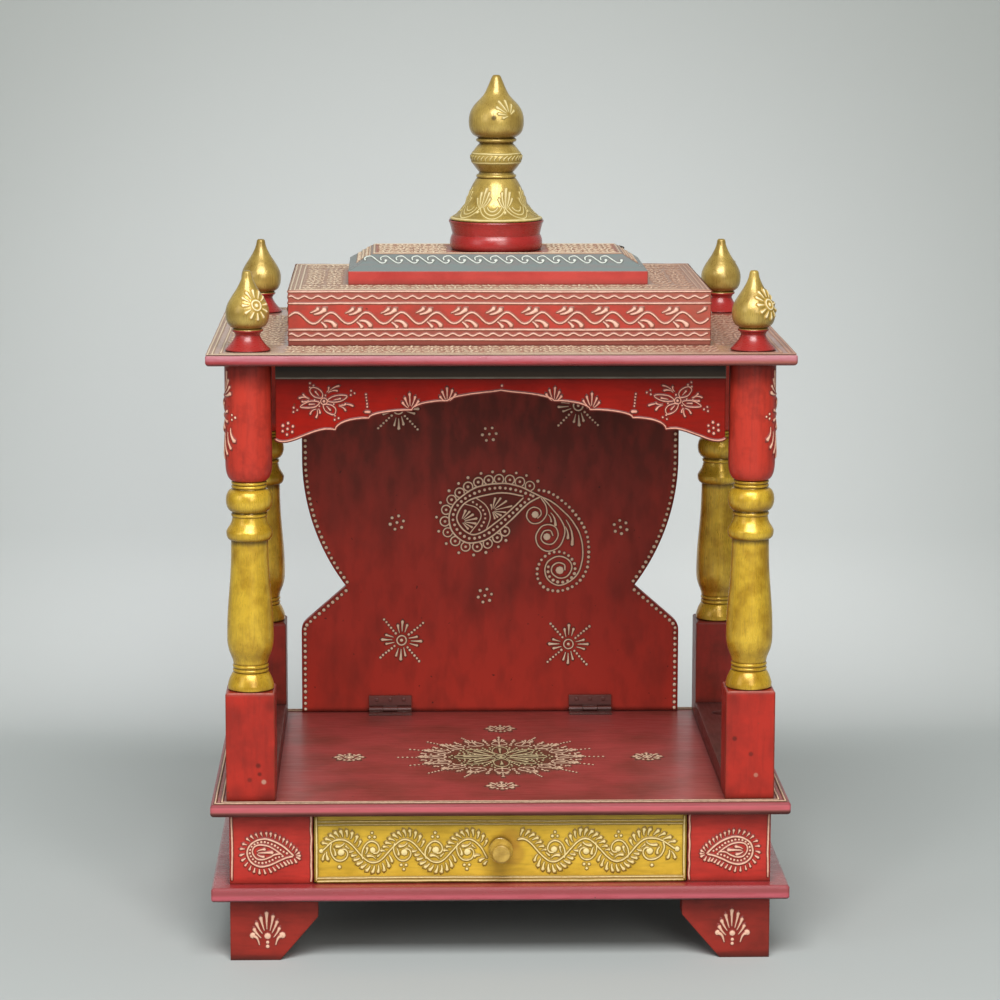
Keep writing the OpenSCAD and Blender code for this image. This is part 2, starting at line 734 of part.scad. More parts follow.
finial(-1, 1);  // finial_back_left
finial(1, 1);  // finial_back_right
spire_foot();
spire();
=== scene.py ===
import math
import random

import bpy
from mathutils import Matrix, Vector, noise


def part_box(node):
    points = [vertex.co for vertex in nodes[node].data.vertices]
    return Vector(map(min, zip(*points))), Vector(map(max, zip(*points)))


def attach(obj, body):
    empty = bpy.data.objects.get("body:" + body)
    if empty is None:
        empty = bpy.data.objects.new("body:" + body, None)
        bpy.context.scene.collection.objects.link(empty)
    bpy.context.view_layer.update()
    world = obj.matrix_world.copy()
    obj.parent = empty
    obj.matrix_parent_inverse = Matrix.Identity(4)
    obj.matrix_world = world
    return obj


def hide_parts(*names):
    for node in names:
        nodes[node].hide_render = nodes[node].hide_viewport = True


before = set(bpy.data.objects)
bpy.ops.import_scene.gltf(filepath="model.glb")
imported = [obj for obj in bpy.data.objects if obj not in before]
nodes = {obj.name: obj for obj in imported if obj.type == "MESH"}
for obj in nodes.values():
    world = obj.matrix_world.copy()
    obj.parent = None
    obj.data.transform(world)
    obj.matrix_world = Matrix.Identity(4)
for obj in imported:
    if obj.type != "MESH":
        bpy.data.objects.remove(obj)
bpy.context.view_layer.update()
mm = 0.001
chance = random.Random(41)
print("stage 1: frame loaded, %d nodes" % len(nodes))


def linearColour(hexCode):
    parts = [int(hexCode[i:i + 2], 16) / 255 for i in (1, 3, 5)]
    return [p / 12.92 if p <= 0.04045 else ((p + 0.055) / 1.055) ** 2.4 for p in parts] + [1.0]


def addNode(tree, kind, settings=None, inputs=None):
    # one shader node, with its settings, and its sockets set or linked
    node = tree.nodes.new(kind)
    for name, value in (settings or {}).items():
        setattr(node, name, value)
    for name, value in (inputs or {}).items():
        if isinstance(value, bpy.types.NodeSocket):
            tree.links.new(value, node.inputs[name])
        else:
            node.inputs[name].default_value = value
    return node


def newMaterial(name):
    material = bpy.data.materials.new(name)
    material.use_nodes = True
    material.node_tree.nodes.clear()
    return material, material.node_tree


def dress(obj, material):
    obj.data.materials.clear()
    obj.data.materials.append(material)


def newPiece(name, verts, faces):
    # a mesh object with smooth shading, put into the scene
    mesh = bpy.data.meshes.new(name)
    mesh.from_pydata(verts, [], faces)
    mesh.shade_smooth()
    piece = bpy.data.objects.new(name, mesh)
    bpy.context.scene.collection.objects.link(piece)
    return piece


def addPointValues(piece, name, values):
    # one number for each point of a mesh, which a material can ask for by its name
    layer = piece.data.attributes.new(name, "FLOAT", "POINT")
    layer.data.foreach_set("value", values)


def boxMm(node):
    low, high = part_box(node)
    return Vector(low) / mm, Vector(high) / mm


def cornersMm(node):
    return [nodes[node].matrix_world @ vertex.co / mm for vertex in nodes[node].data.vertices]


cameraLook = {
    "place": (-0.0711, -2.5313, 0.7190),    # metres, from the floor under the middle of the boards
    "pitchDown": 9.262,                     # degrees
    "yawRight": 1.663,
    "roll": -0.114,
    "lens": 126.0,                          # mm
    "sensor": 36.0,
}

cameraData = bpy.data.cameras.new("camera")
cameraData.lens = cameraLook["lens"]
cameraData.sensor_width = cameraLook["sensor"]
camera = bpy.data.objects.new("camera", cameraData)
camera.location = cameraLook["place"]
camera.rotation_euler = (math.radians(90 - cameraLook["pitchDown"]), math.radians(cameraLook["roll"]),
                         math.radians(-cameraLook["yawRight"]))
bpy.context.scene.collection.objects.link(camera)
bpy.context.scene.camera = camera
bpy.context.scene.view_settings.view_transform = "Standard"

lightLook = {
    "skyColour": "#eef1f2",
    "skyStrength": 0.16,
    "farColour": "#c3c8c6",         # what is seen past the floor from the other sides
    "lamps": [      # name, place, size across and up, watts, colour
        ("softboxAbove", (-0.05, -1.75, 2.15), (1.7, 1.1), 64.0, "#ffffff"),
        ("softboxFront", (0.55, -2.45, 1.15), (1.0, 1.0), 13.0, "#fffdf8"),
        ("softboxLeft", (-2.00, -1.70, 1.30), (1.1, 1.5), 9.0, "#fafbff"),
    ],
    "aim": (0.0, 0.0, 0.28),
}

world = bpy.data.worlds.new("studioSky")
bpy.context.scene.world = world
world.use_nodes = True
sky = world.node_tree
sky.nodes.clear()
rays = addNode(sky, "ShaderNodeLightPath")
glow = addNode(sky, "ShaderNodeBackground", {}, {
    "Color": linearColour(lightLook["skyColour"]), "Strength": lightLook["skyStrength"]})
far = addNode(sky, "ShaderNodeBackground", {}, {
    "Color": linearColour(lightLook["farColour"]), "Strength": 1.0})
seen = addNode(sky, "ShaderNodeMixShader", {}, {
    0: rays.outputs["Is Camera Ray"], 1: glow.outputs[0], 2: far.outputs[0]})
addNode(sky, "ShaderNodeOutputWorld", {}, {"Surface": seen.outputs[0]})

for lampName, place, size, watts, colour in lightLook["lamps"]:
    lampData = bpy.data.lights.new(lampName, "AREA")
    lampData.shape = "RECTANGLE"
    lampData.size, lampData.size_y = size
    lampData.energy = watts
    lampData.color = linearColour(colour)[:3]
    lamp = bpy.data.objects.new(lampName, lampData)
    lamp.location = place
    lamp.rotation_euler = (Vector(lightLook["aim"]) - Vector(place)).to_track_quat("-Z", "Y").to_euler()
    bpy.context.scene.collection.objects.link(lamp)

backdropLook = {        # metres
    "halfWidth": 4.0,
    "frontEdge": -4.0,
    "wallAt": 0.56,         # where the sweep starts to rise behind the temple
    "sweepRadius": 0.16,
    "sweepSteps": 16,
    "height": 4.0,
    "floorColour": "#c0c5c3",
    "litPoolColour": "#e1e5e4",        # painted pool of light behind the temple, fading to the next
    "shadedWallColour": "#a9ada9",
    # where the painted pool of light is centred, and how far out it fades
    "poolHeight": 0.08,
    "poolReach": (0.20, 0.85),
    "blend": 0.10,          # how far before the sweep the floor's colour starts to change
}


def buildBackdrop(look):
    r, steps = look["sweepRadius"], look["sweepSteps"]
    section = [(look["frontEdge"], 0.0)]
    section += [(look["wallAt"] + r * math.sin(a), r - r * math.cos(a))
                for a in [math.radians(90 * i / steps) for i in range(steps + 1)]]
    section += [(look["wallAt"] + r, look["height"])]
    verts = [(side * look["halfWidth"], y, z) for y, z in section for side in (-1, 1)]
    faces = [(2 * i, 2 * i + 1, 2 * i + 3, 2 * i + 2) for i in range(len(section) - 1)]
    backdrop = newPiece("backdrop", verts, faces)
    # matt seamless paper, pale and without gloss; the wall has a painted pool of light behind the temple and is
    # painted darker away from it
    material, tree = newMaterial("seamless backdrop paper")
    place = addNode(tree, "ShaderNodeTexCoord").outputs["Object"]
    away = addNode(tree, "ShaderNodeVectorMath", {"operation": "DISTANCE"}, {
        0: place, 1: (0.0, look["wallAt"] + r, look["poolHeight"])})
    faded = addNode(tree, "ShaderNodeMapRange", {"interpolation_type": "SMOOTHSTEP"}, {
        "Value": away.outputs["Value"], "From Min": look["poolReach"][0], "From Max": look["poolReach"][1]})
    wall = addNode(tree, "ShaderNodeMix", {"data_type": "RGBA"}, {
        0: faded.outputs[0], 6: linearColour(look["litPoolColour"]), 7: linearColour(look["shadedWallColour"])})
    depth = addNode(tree, "ShaderNodeSeparateXYZ", {}, {"Vector": place})
    upright = addNode(tree, "ShaderNodeMapRange", {"interpolation_type": "SMOOTHSTEP"}, {
        "Value": depth.outputs["Y"], "From Min": look["wallAt"] - look["blend"],
        "From Max": look["wallAt"] + r})
    colour = addNode(tree, "ShaderNodeMix", {"data_type": "RGBA"}, {
        0: upright.outputs[0], 6: linearColour(look["floorColour"]), 7: wall.outputs[2]})
    shader = addNode(tree, "ShaderNodeBsdfPrincipled", {}, {
        "Base Color": colour.outputs[2], "Roughness": 0.9, "Specular IOR Level": 0.1})
    # the paper is seen from its front only, so that the temple can be looked at from behind it
    side = addNode(tree, "ShaderNodeNewGeometry")
    clear = addNode(tree, "ShaderNodeBsdfTransparent")
    paper = addNode(tree, "ShaderNodeMixShader", {}, {
        0: side.outputs["Backfacing"], 1: shader.outputs[0], 2: clear.outputs[0]})
    addNode(tree, "ShaderNodeOutputMaterial", {}, {"Surface": paper.outputs[0]})
    dress(backdrop, material)


buildBackdrop(backdropLook)
print("stage 2: camera, lamps and backdrop")


def paintOver(tree, colour, coats):
    # coats of colour over one another, each as strong as its mask says
    for mask, hexCode in coats:
        colour = addNode(tree, "ShaderNodeMix", {"data_type": "RGBA"}, {
            0: mask, 6: colour, 7: linearColour(hexCode)}).outputs[2]
    return colour


def patchCoats(tree, place, patches):
    # round places with a colour of their own, or painted shade: rubbed wash under a painted flower, a knot, a
    # chip
    coats = []
    for middle, rim, full, hexCode, amount in patches:
        reach = addNode(tree, "ShaderNodeVectorMath", {"operation": "DISTANCE"}, {
            0: place, 1: [c * mm for c in middle]})
        near = addNode(tree, "ShaderNodeMapRange", {"interpolation_type": "SMOOTHSTEP"}, {
            "Value": reach.outputs["Value"], "From Min": rim * mm, "From Max": full * mm, "To Max": amount})
        coats.append((near.outputs[0], hexCode))
    return coats


# the masks are cut out of smooth noise, which runs from about 0.3 to 0.7
def enamelPaint(name, look):
    # brushed enamel over wood: cloudy where the coats were rubbed back, dark wash and painted shade in the
    # corners
    material, tree = newMaterial(name)
    place = addNode(tree, "ShaderNodeTexCoord").outputs["Object"]
    axes = addNode(tree, "ShaderNodeSeparateXYZ", {}, {"Vector": place})
    facing = addNode(tree, "ShaderNodeNewGeometry")
    facingAxes = addNode(tree, "ShaderNodeSeparateXYZ", {}, {"Vector": facing.outputs["Normal"]})
    drawn = addNode(tree, "ShaderNodeMapping", {}, {"Vector": place, "Scale": look["cloudDrawn"]})
    cloud = addNode(tree, "ShaderNodeTexNoise", {}, {
        "Vector": drawn.outputs[0], "Scale": 1000 / look["cloudMm"], "Detail": 4.0, "Roughness": 0.62})
    cloudy = addNode(tree, "ShaderNodeMapRange", {}, {
        "Value": cloud.outputs["Fac"], "From Min": look["cloudFrom"], "From Max": look["cloudTo"]})
    # brush strokes, drawn out along the way the board was painted
    stretched = addNode(tree, "ShaderNodeMapping", {}, {"Vector": place, "Scale": look["brush"]})
    strokes = addNode(tree, "ShaderNodeTexNoise", {}, {
        "Vector": stretched.outputs[0], "Scale": 1000 / look["brushMm"], "Detail": 3.0})
    stroked = addNode(tree, "ShaderNodeMapRange", {}, {
        "Value": strokes.outputs["Fac"], "From Min": 0.48, "From Max": 0.72,
        "To Max": look["brushAmount"]})
    coats = [(cloudy.outputs[0], look["second"]), (stroked.outputs[0], look["wash"])]
    coats += patchCoats(tree, place, look.get("patches", []))
    # parts of the piece with a colour of their own, or painted light and shade: along an axis (mm), or by the
    # way a face looks;
    # a band of height stays on the upright faces
    level = addNode(tree, "ShaderNodeMapRange", {"interpolation_type": "SMOOTHSTEP"}, {
        "Value": facingAxes.outputs["Z"], "From Min": 0.98, "From Max": 0.90})
    for axis, start, end, hexCode, amount, patchy in look.get("bands", []):
        if axis in "XYZ":
            source, start, end = axes.outputs[axis], start * mm, end * mm
        else:
            source = facingAxes.outputs[axis[-1]]
        mask = addNode(tree, "ShaderNodeMapRange", {"interpolation_type": "SMOOTHSTEP"}, {
            "Value": source, "From Min": start, "From Max": end, "To Max": amount})
        uneven = addNode(tree, "ShaderNodeMapRange", {}, {
            "Value": strokes.outputs["Fac"], "From Min": 0.25, "From Max": 0.6,
            "To Min": 1 - patchy, "To Max": 1.0})
        for limit in (uneven, level) if axis == "Z" else (uneven,):
            mask = addNode(tree, "ShaderNodeMath", {"operation": "MULTIPLY"}, {
                0: mask.outputs[0], 1: limit.outputs[0]})
        coats.append((mask.outputs[0], hexCode))
    # darker where ambient occlusion is low, in corners and beside the piped lines: the wash that gathers there,
    # and painted shade
    corner = addNode(tree, "ShaderNodeAmbientOcclusion", {"samples": 4}, {"Distance": look["cornerMm"] * mm})
    washAndCornerShade = addNode(tree, "ShaderNodeMapRange", {}, {
        "Value": corner.outputs["AO"], "From Min": 0.975, "From Max": look["cornerFull"],
        "To Max": look["cornerAmount"]})
    # edges rubbed down to the brown under the top coat
    rounded = addNode(tree, "ShaderNodeBevel", {"samples": 4}, {"Radius": look["edgeMm"] * mm})
    bend = addNode(tree, "ShaderNodeVectorMath", {"operation": "DOT_PRODUCT"}, {
        0: rounded.outputs[0], 1: facing.outputs["Normal"]})
    edge = addNode(tree, "ShaderNodeMapRange", {}, {
        "Value": bend.outputs["Value"], "From Min": look["edgeFrom"], "From Max": look["edgeFrom"] - 0.1,
        "To Max": look["edgeAmount"]})
    nibble = addNode(tree, "ShaderNodeTexNoise", {}, {
        "Vector": place, "Scale": 1000 / look["nibbleMm"], "Detail": 3.0})
    nibbled = addNode(tree, "ShaderNodeMapRange", {}, {
        "Value": nibble.outputs["Fac"], "From Min": 0.34, "From Max": 0.56, "To Min": 0.25})
    worn = addNode(tree, "ShaderNodeMath", {"operation": "MULTIPLY"}, {
        0: edge.outputs[0], 1: nibbled.outputs[0]})
    # small dark pits and chips
    pits = addNode(tree, "ShaderNodeTexNoise", {}, {
        "Vector": place, "Scale": 1000 / look["pitMm"], "Detail": 2.0})
    pitted = addNode(tree, "ShaderNodeMapRange", {}, {
        "Value": pits.outputs["Fac"], "From Min": 0.745, "From Max": 0.78, "To Max": 0.8})
    coats += [(washAndCornerShade.outputs[0], look["wash"]), (worn.outputs[0], look["edge"]),
              (pitted.outputs[0], look["edge"])]
    gloss = addNode(tree, "ShaderNodeMapRange", {}, {
        "Value": strokes.outputs["Fac"], "From Min": 0.3, "From Max": 0.7,
        "To Min": look["roughness"] - 0.05, "To Max": look["roughness"] + 0.09})
    waves = addNode(tree, "ShaderNodeTexNoise", {}, {       # the coat's own unevenness, twice a stroke's width
        "Vector": stretched.outputs[0], "Scale": 1000 / (2.2 * look["brushMm"]), "Detail": 5.0,
        "Roughness": 0.6})
    relief = addNode(tree, "ShaderNodeBump", {}, {
        "Height": waves.outputs["Fac"], "Strength": look["bump"], "Distance": look["bumpMm"] * mm,
        "Normal": rounded.outputs[0]})
    shader = addNode(tree, "ShaderNodeBsdfPrincipled", {}, {
        "Base Color": paintOver(tree, linearColour(look["base"]), coats), "Roughness": gloss.outputs[0],
        "Normal": relief.outputs[0], "IOR": 1.5, "Specular IOR Level": look["sheen"],
        "Coat Weight": look["coat"], "Coat Roughness": 0.20})
    addNode(tree, "ShaderNodeOutputMaterial", {}, {"Surface": shader.outputs[0]})
    return material


def goldPaint(name, look):
    # gold paint brushed on turned wood, then a brown wash wiped off the high parts; painted shade under the
    # bulges and in hollows
    material, tree = newMaterial(name)
    place = addNode(tree, "ShaderNodeTexCoord").outputs["Object"]
    facing = addNode(tree, "ShaderNodeNewGeometry")
    cloud = addNode(tree, "ShaderNodeTexNoise", {}, {
        "Vector": place, "Scale": 1000 / look["cloudMm"], "Detail": 4.0, "Roughness": 0.6})
    cloudy = addNode(tree, "ShaderNodeMapRange", {}, {
        "Value": cloud.outputs["Fac"], "From Min": 0.38, "From Max": 0.66})
    upright = addNode(tree, "ShaderNodeMapping", {}, {"Vector": place, "Scale": look["brush"]})
    strokes = addNode(tree, "ShaderNodeTexNoise", {}, {
        "Vector": upright.outputs[0], "Scale": 1000 / look["brushMm"], "Detail": 3.0})
    stroked = addNode(tree, "ShaderNodeMapRange", {}, {
        "Value": strokes.outputs["Fac"], "From Min": 0.5, "From Max": 0.8, "To Max": look["streaks"]})
    # the wash filled the grooves, deeper in some places than in others
    groove = addNode(tree, "ShaderNodeAttribute", {"attribute_name": "groove"})
    deep = addNode(tree, "ShaderNodeMath", {"operation": "MULTIPLY_ADD"}, {
        0: strokes.outputs["Fac"], 1: 0.5, 2: -0.25})
    soaked = addNode(tree, "ShaderNodeMath", {"operation": "ADD"}, {
        0: groove.outputs["Fac"], 1: deep.outputs[0]})
    washed = addNode(tree, "ShaderNodeMapRange", {"interpolation_type": "SMOOTHSTEP"}, {
        "Value": soaked.outputs[0], "From Min": 0.12, "From Max": 0.75, "To Max": look["washAmount"]})
    # painted shade on the faces that look down, under the bulges
    below = addNode(tree, "ShaderNodeSeparateXYZ", {}, {"Vector": facing.outputs["Normal"]})
    undersideShade = addNode(tree, "ShaderNodeMapRange", {"interpolation_type": "SMOOTHSTEP"}, {
        "Value": below.outputs["Z"], "From Min": -0.15, "From Max": -0.75, "To Max": 0.55})
    # darker in hollows by ambient occlusion: the wash that gathers there, and painted shade
    corner = addNode(tree, "ShaderNodeAmbientOcclusion", {"samples": 4}, {"Distance": look["cornerMm"] * mm})
    washAndCornerShade = addNode(tree, "ShaderNodeMapRange", {}, {
        "Value": corner.outputs["AO"], "From Min": 0.9, "From Max": 0.4, "To Max": look["washAmount"]})
    coats = [(cloudy.outputs[0], look["second"]), (stroked.outputs[0], look["wash"]),
             (washed.outputs[0], look["wash"]), (undersideShade.outputs[0], look["under"]),
             (washAndCornerShade.outputs[0], look["wash"])]
    coats += patchCoats(tree, place, look.get("patches", []))
    shine = addNode(tree, "ShaderNodeMapRange", {}, {
        "Value": strokes.outputs["Fac"], "From Min": 0.3, "From Max": 0.7,
        "To Min": look["roughness"] - 0.05, "To Max": look["roughness"] + 0.12})
    relief = addNode(tree, "ShaderNodeBump", {}, {
        "Height": strokes.outputs["Fac"], "Strength": 0.35, "Distance": look["bumpMm"] * mm})
    shader = addNode(tree, "ShaderNodeBsdfPrincipled", {}, {
        "Base Color": paintOver(tree, linearColour(look["base"]), coats), "Metallic": look["metallic"],
        "Roughness": shine.outputs[0], "Specular IOR Level": look["sheen"],
        "Normal": relief.outputs[0], "Coat Weight": look["coat"], "Coat Roughness": 0.22})
    addNode(tree, "ShaderNodeOutputMaterial", {}, {"Surface": shader.outputs[0]})
    return material


def pipedPaste(name, look):
    # clay and glue paste piped from a cone: pale on the crest, painted shade down its slopes, brown wash along
    # its foot
    material, tree = newMaterial(name)
    place = addNode(tree, "ShaderNodeTexCoord").outputs["Object"]
    crest = addNode(tree, "ShaderNodeAttribute", {"attribute_name": "crest"})
    speckle = addNode(tree, "ShaderNodeTexNoise", {}, {
        "Vector": place, "Scale": 1000 / look["speckMm"], "Detail": 3.0})
    uneven = addNode(tree, "ShaderNodeMath", {"operation": "MULTIPLY_ADD"}, {
        0: speckle.outputs["Fac"], 1: 0.36, 2: -0.18})
    height = addNode(tree, "ShaderNodeMath", {"operation": "ADD"}, {
        0: crest.outputs["Fac"], 1: uneven.outputs[0]})
    ramp = addNode(tree, "ShaderNodeValToRGB", {}, {"Fac": height.outputs[0]})
    stops = [(0.0, look["ground"]), (0.30, look["halo"]), (0.52, look["halo"]), (0.74, look["shade"]),
             (0.90, look["cream"])]
    while len(ramp.color_ramp.elements) < len(stops):
        ramp.color_ramp.elements.new(0.5)
    for element, (spot, hexCode) in zip(ramp.color_ramp.elements, stops):
        element.position = spot
        element.color = linearColour(hexCode)
    coats = []
    if "faded" in look:         # towards one end the red under it shows through
        start, end, hexCode, amount = look["faded"]
        along = addNode(tree, "ShaderNodeSeparateXYZ", {}, {"Vector": place})
        worn = addNode(tree, "ShaderNodeMapRange", {"interpolation_type": "SMOOTHSTEP"}, {
            "Value": along.outputs["X"], "From Min": start * mm, "From Max": end * mm, "To Max": amount})
        coats.append((worn.outputs[0], hexCode))
    shader = addNode(tree, "ShaderNodeBsdfPrincipled", {}, {
        "Base Color": paintOver(tree, ramp.outputs["Color"], coats), "Roughness": 0.48, "IOR": 1.48})
    addNode(tree, "ShaderNodeOutputMaterial", {}, {"Surface": shader.outputs[0]})
    return material


def bareWood(name, look):
    # sanded, unpainted wood: growth rings show as long soft lines along the board
    material, tree = newMaterial(name)
    place = addNode(tree, "ShaderNodeTexCoord").outputs["Object"]
    along = addNode(tree, "ShaderNodeMapping", {}, {"Vector": place, "Scale": look["along"]})
    rings = addNode(tree, "ShaderNodeTexNoise", {}, {
        "Vector": along.outputs[0], "Scale": 1000 / look["ringMm"], "Detail": 5.0, "Distortion": 0.6})
    pores = addNode(tree, "ShaderNodeTexNoise", {}, {
        "Vector": along.outputs[0], "Scale": 1000 / look["poreMm"], "Detail": 2.0})
    specks = addNode(tree, "ShaderNodeMapRange", {}, {
        "Value": pores.outputs["Fac"], "From Min": 0.6, "From Max": 0.75, "To Max": 0.5})
    colour = paintOver(tree, linearColour(look["early"]), [
        (rings.outputs["Fac"], look["late"]), (specks.outputs[0], look["pore"])])
    relief = addNode(tree, "ShaderNodeBump", {}, {
        "Height": rings.outputs["Fac"], "Strength": 0.3, "Distance": look["bumpMm"] * mm})
    shader = addNode(tree, "ShaderNodeBsdfPrincipled", {}, {
        "Base Color": colour, "Roughness": 0.62, "Normal": relief.outputs[0]})
    addNode(tree, "ShaderNodeOutputMaterial", {}, {"Surface": shader.outputs[0]})
    return material


def flatFace(origin, across, up):
    # a flat face in mm: u across, v up, h straight off it
    start, uWay, vWay = Vector(origin), Vector(across).normalized(), Vector(up).normalized()
    away = uWay.cross(vWay)
    return lambda u, v, h: (start + uWay * u + vWay * v + away * h) * mm


def frontFace(x, y, z):
    return flatFace((x, y, z), (1, 0, 0), (0, 0, 1))


def topFace(z):
    return flatFace((0, 0, z), (1, 0, 0), (0, 1, 0))


def outlineOf(node):
    # how the radius of a turned CAD piece changes with height, as (height, radius) in mm
    low, high = boxMm(node)
    cx, cy = (low.x + high.x) / 2, (low.y + high.y) / 2
    levels = {}
    for place in cornersMm(node):
        levels.setdefault(round(place.z, 1), []).append(math.hypot(place.x - cx, place.y - cy))
    outline, last = [], 0.0
    for z in sorted(levels):
        inner, outer = min(levels[z]), max(levels[z])
        if outer - inner < 0.12:        # one ring of corners; elsewhere a flat step joins two
            outline.append((z, outer))
        elif abs(inner - last) < abs(outer - last):
            outline += [(z, inner), (z, outer)]
        else:
            outline += [(z, outer), (z, inner)]
        last = outline[-1][1]
    return outline, (cx, cy)


def turnedFace(node, heading, height):
    # the round face of a turned piece in mm: u runs round it from the heading, v up it
    outline, (cx, cy) = outlineOf(node)
    reach, least = 0.6, 4.0     # mm: how far off the slope is felt, and the least radius that u runs round

    def radiusAt(z):
        for (z0, r0), (z1, r1) in zip(outline, outline[1:]):
            if z0 <= z <= z1 and z1 > z0:
                return r0 + (r1 - r0) * (z - z0) / (z1 - z0)
        return outline[-1][1]

    def place(u, v, h):
        z = height + v
        r = radiusAt(z)
        slope = (radiusAt(z + reach) - radiusAt(z - reach)) / (2 * reach)
        lean = math.hypot(1.0, slope)
        angle = math.radians(heading) + u / max(r, least)
        r, z = r + h / lean, z - h * slope / lean
        return Vector((cx + r * math.cos(angle), cy + r * math.sin(angle), z)) * mm
    return place


def flow(points, steps=5, closed=False):
    # a flowing line through a few points
    spots = [Vector(p) for p in points]
    count = len(spots)
    line = []
    for i in range(count if closed else count - 1):
        p1, p2 = spots[i], spots[(i + 1) % count]
        p0 = spots[i - 1] if closed or i > 0 else p1 * 2 - p2
        p3 = spots[(i + 2) % count] if closed or i + 2 < count else p2 * 2 - p1
        for k in range(steps):
            t = k / steps
            line.append(0.5 * (2 * p1 + (p2 - p0) * t + (2 * p0 - 5 * p1 + 4 * p2 - p3) * t ** 2
                               + (3 * p1 - p0 - 3 * p2 + p3) * t ** 3))
    line.append(spots[0] if closed else spots[-1])
    return line


def spaced(line, gap):
    # points along a line at an even gap, each with the way the line runs there
    total = sum((b - a).length for a, b in zip(line, line[1:]))
    count = max(1, round(total / gap))
    result, run, target = [], 0.0, 0.0
    for a, b in zip(line, line[1:]):
        step = (b - a).length
        while step > 0 and target <= run + step + 1e-6 and len(result) <= count:
            result.append((a.lerp(b, (target - run) / step), (b - a).normalized()))
            target += total / count
        run += step
    return result


def pipe(points, width=1.0, steps=5, closed=False):
    line = flow(points, steps, closed)
    return [(line, [width] * len(line))]


def dot(x, y, radius=0.95):
    return [([Vector((x, y))], [2 * radius])]


def drop(head, tail, radius=1.1, bend=0.0, steps=4):
    # a comma of paste: pressed at the head, drawn out to a thin tail
    a, b = Vector(head), Vector(tail)
    side = Vector((a.y - b.y, b.x - a.x)) * bend
    shares = [k / steps for k in range(steps + 1)]
    return [([a.lerp(b, t) + side * (4 * t * (1 - t)) for t in shares],
             [2 * radius * (1 - 0.82 * t ** 0.62) for t in shares])]


def drops(rows, steps=4):
    # each row is the head, the tail, the radius and perhaps the bend of one drop
    return [stroke for row in rows for stroke in drop(*row, steps=steps)]


def curl(middle, reach, core, start, turns, width=1.0):
    # a spiral from its outer end inward
    steps = max(6, int(abs(turns) * 16))
    line = []
    for k in range(steps + 1):
        t = k / steps
        r = reach + (core - reach) * t
        angle = math.radians(start + 360 * turns * t)
        line.append(Vector(middle) + Vector((math.cos(angle), math.sin(angle))) * r)
    return [(line, [width] * len(line))]


def ring(x, y, radius, width=0.95):
    return curl((x, y), radius, radius, 90, 1.0, width)


def beads(points, gap, radius=0.8, closed=False):
    dots = spaced(flow(points, 5, closed), gap)
    if closed:
        dots = dots[:-1]
    return [([p], [2 * radius]) for p, way in dots]


def fan(root, reaches, middle, spread, radius=1.1, start=0.35, bend=0.0):
    # drops opening like a hand from one root; reaches are their lengths in mm
    strokes = []
    for k, reach in enumerate(reaches):
        share = k / (len(reaches) - 1) - 0.5 if len(reaches) > 1 else 0.0
        angle = math.radians(middle - spread * share)
        way = Vector((math.cos(angle), math.sin(angle)))
        strokes += drop(Vector(root) + way * reach, Vector(root) + way * reach * start,
                        radius, bend * share * 2)
    return strokes


def moved(strokes, dx=0.0, dy=0.0, turn=0.0, flip=False):
    c, s = math.cos(math.radians(turn)), math.sin(math.radians(turn))
    side = -1 if flip else 1
    return [([Vector(((p.x * c - p.y * s) * side + dx, p.x * s + p.y * c + dy)) for p in line], widths)
            for line, widths in strokes]


def bothWays(strokes):
    return strokes + moved(strokes, flip=True)


pasteLook = {
    "height": 0.78,     # mm, of a line 1 mm wide
    "skirt": 0.70,      # mm of wash beside each line
    "lift": 0.05,       # mm, keeps the skirt just off the paint
    "wobble": 0.22,     # mm, a hand is never quite steady
    "sides": 8,         # of a bead
}


def sway(spot, coarse, layers):
    # how far a hand strays at this place, as a share of its wobble; the layers tell x and y apart
    return Vector([noise.noise(Vector((spot.x * coarse, spot.y * coarse, layer))) for layer in layers])


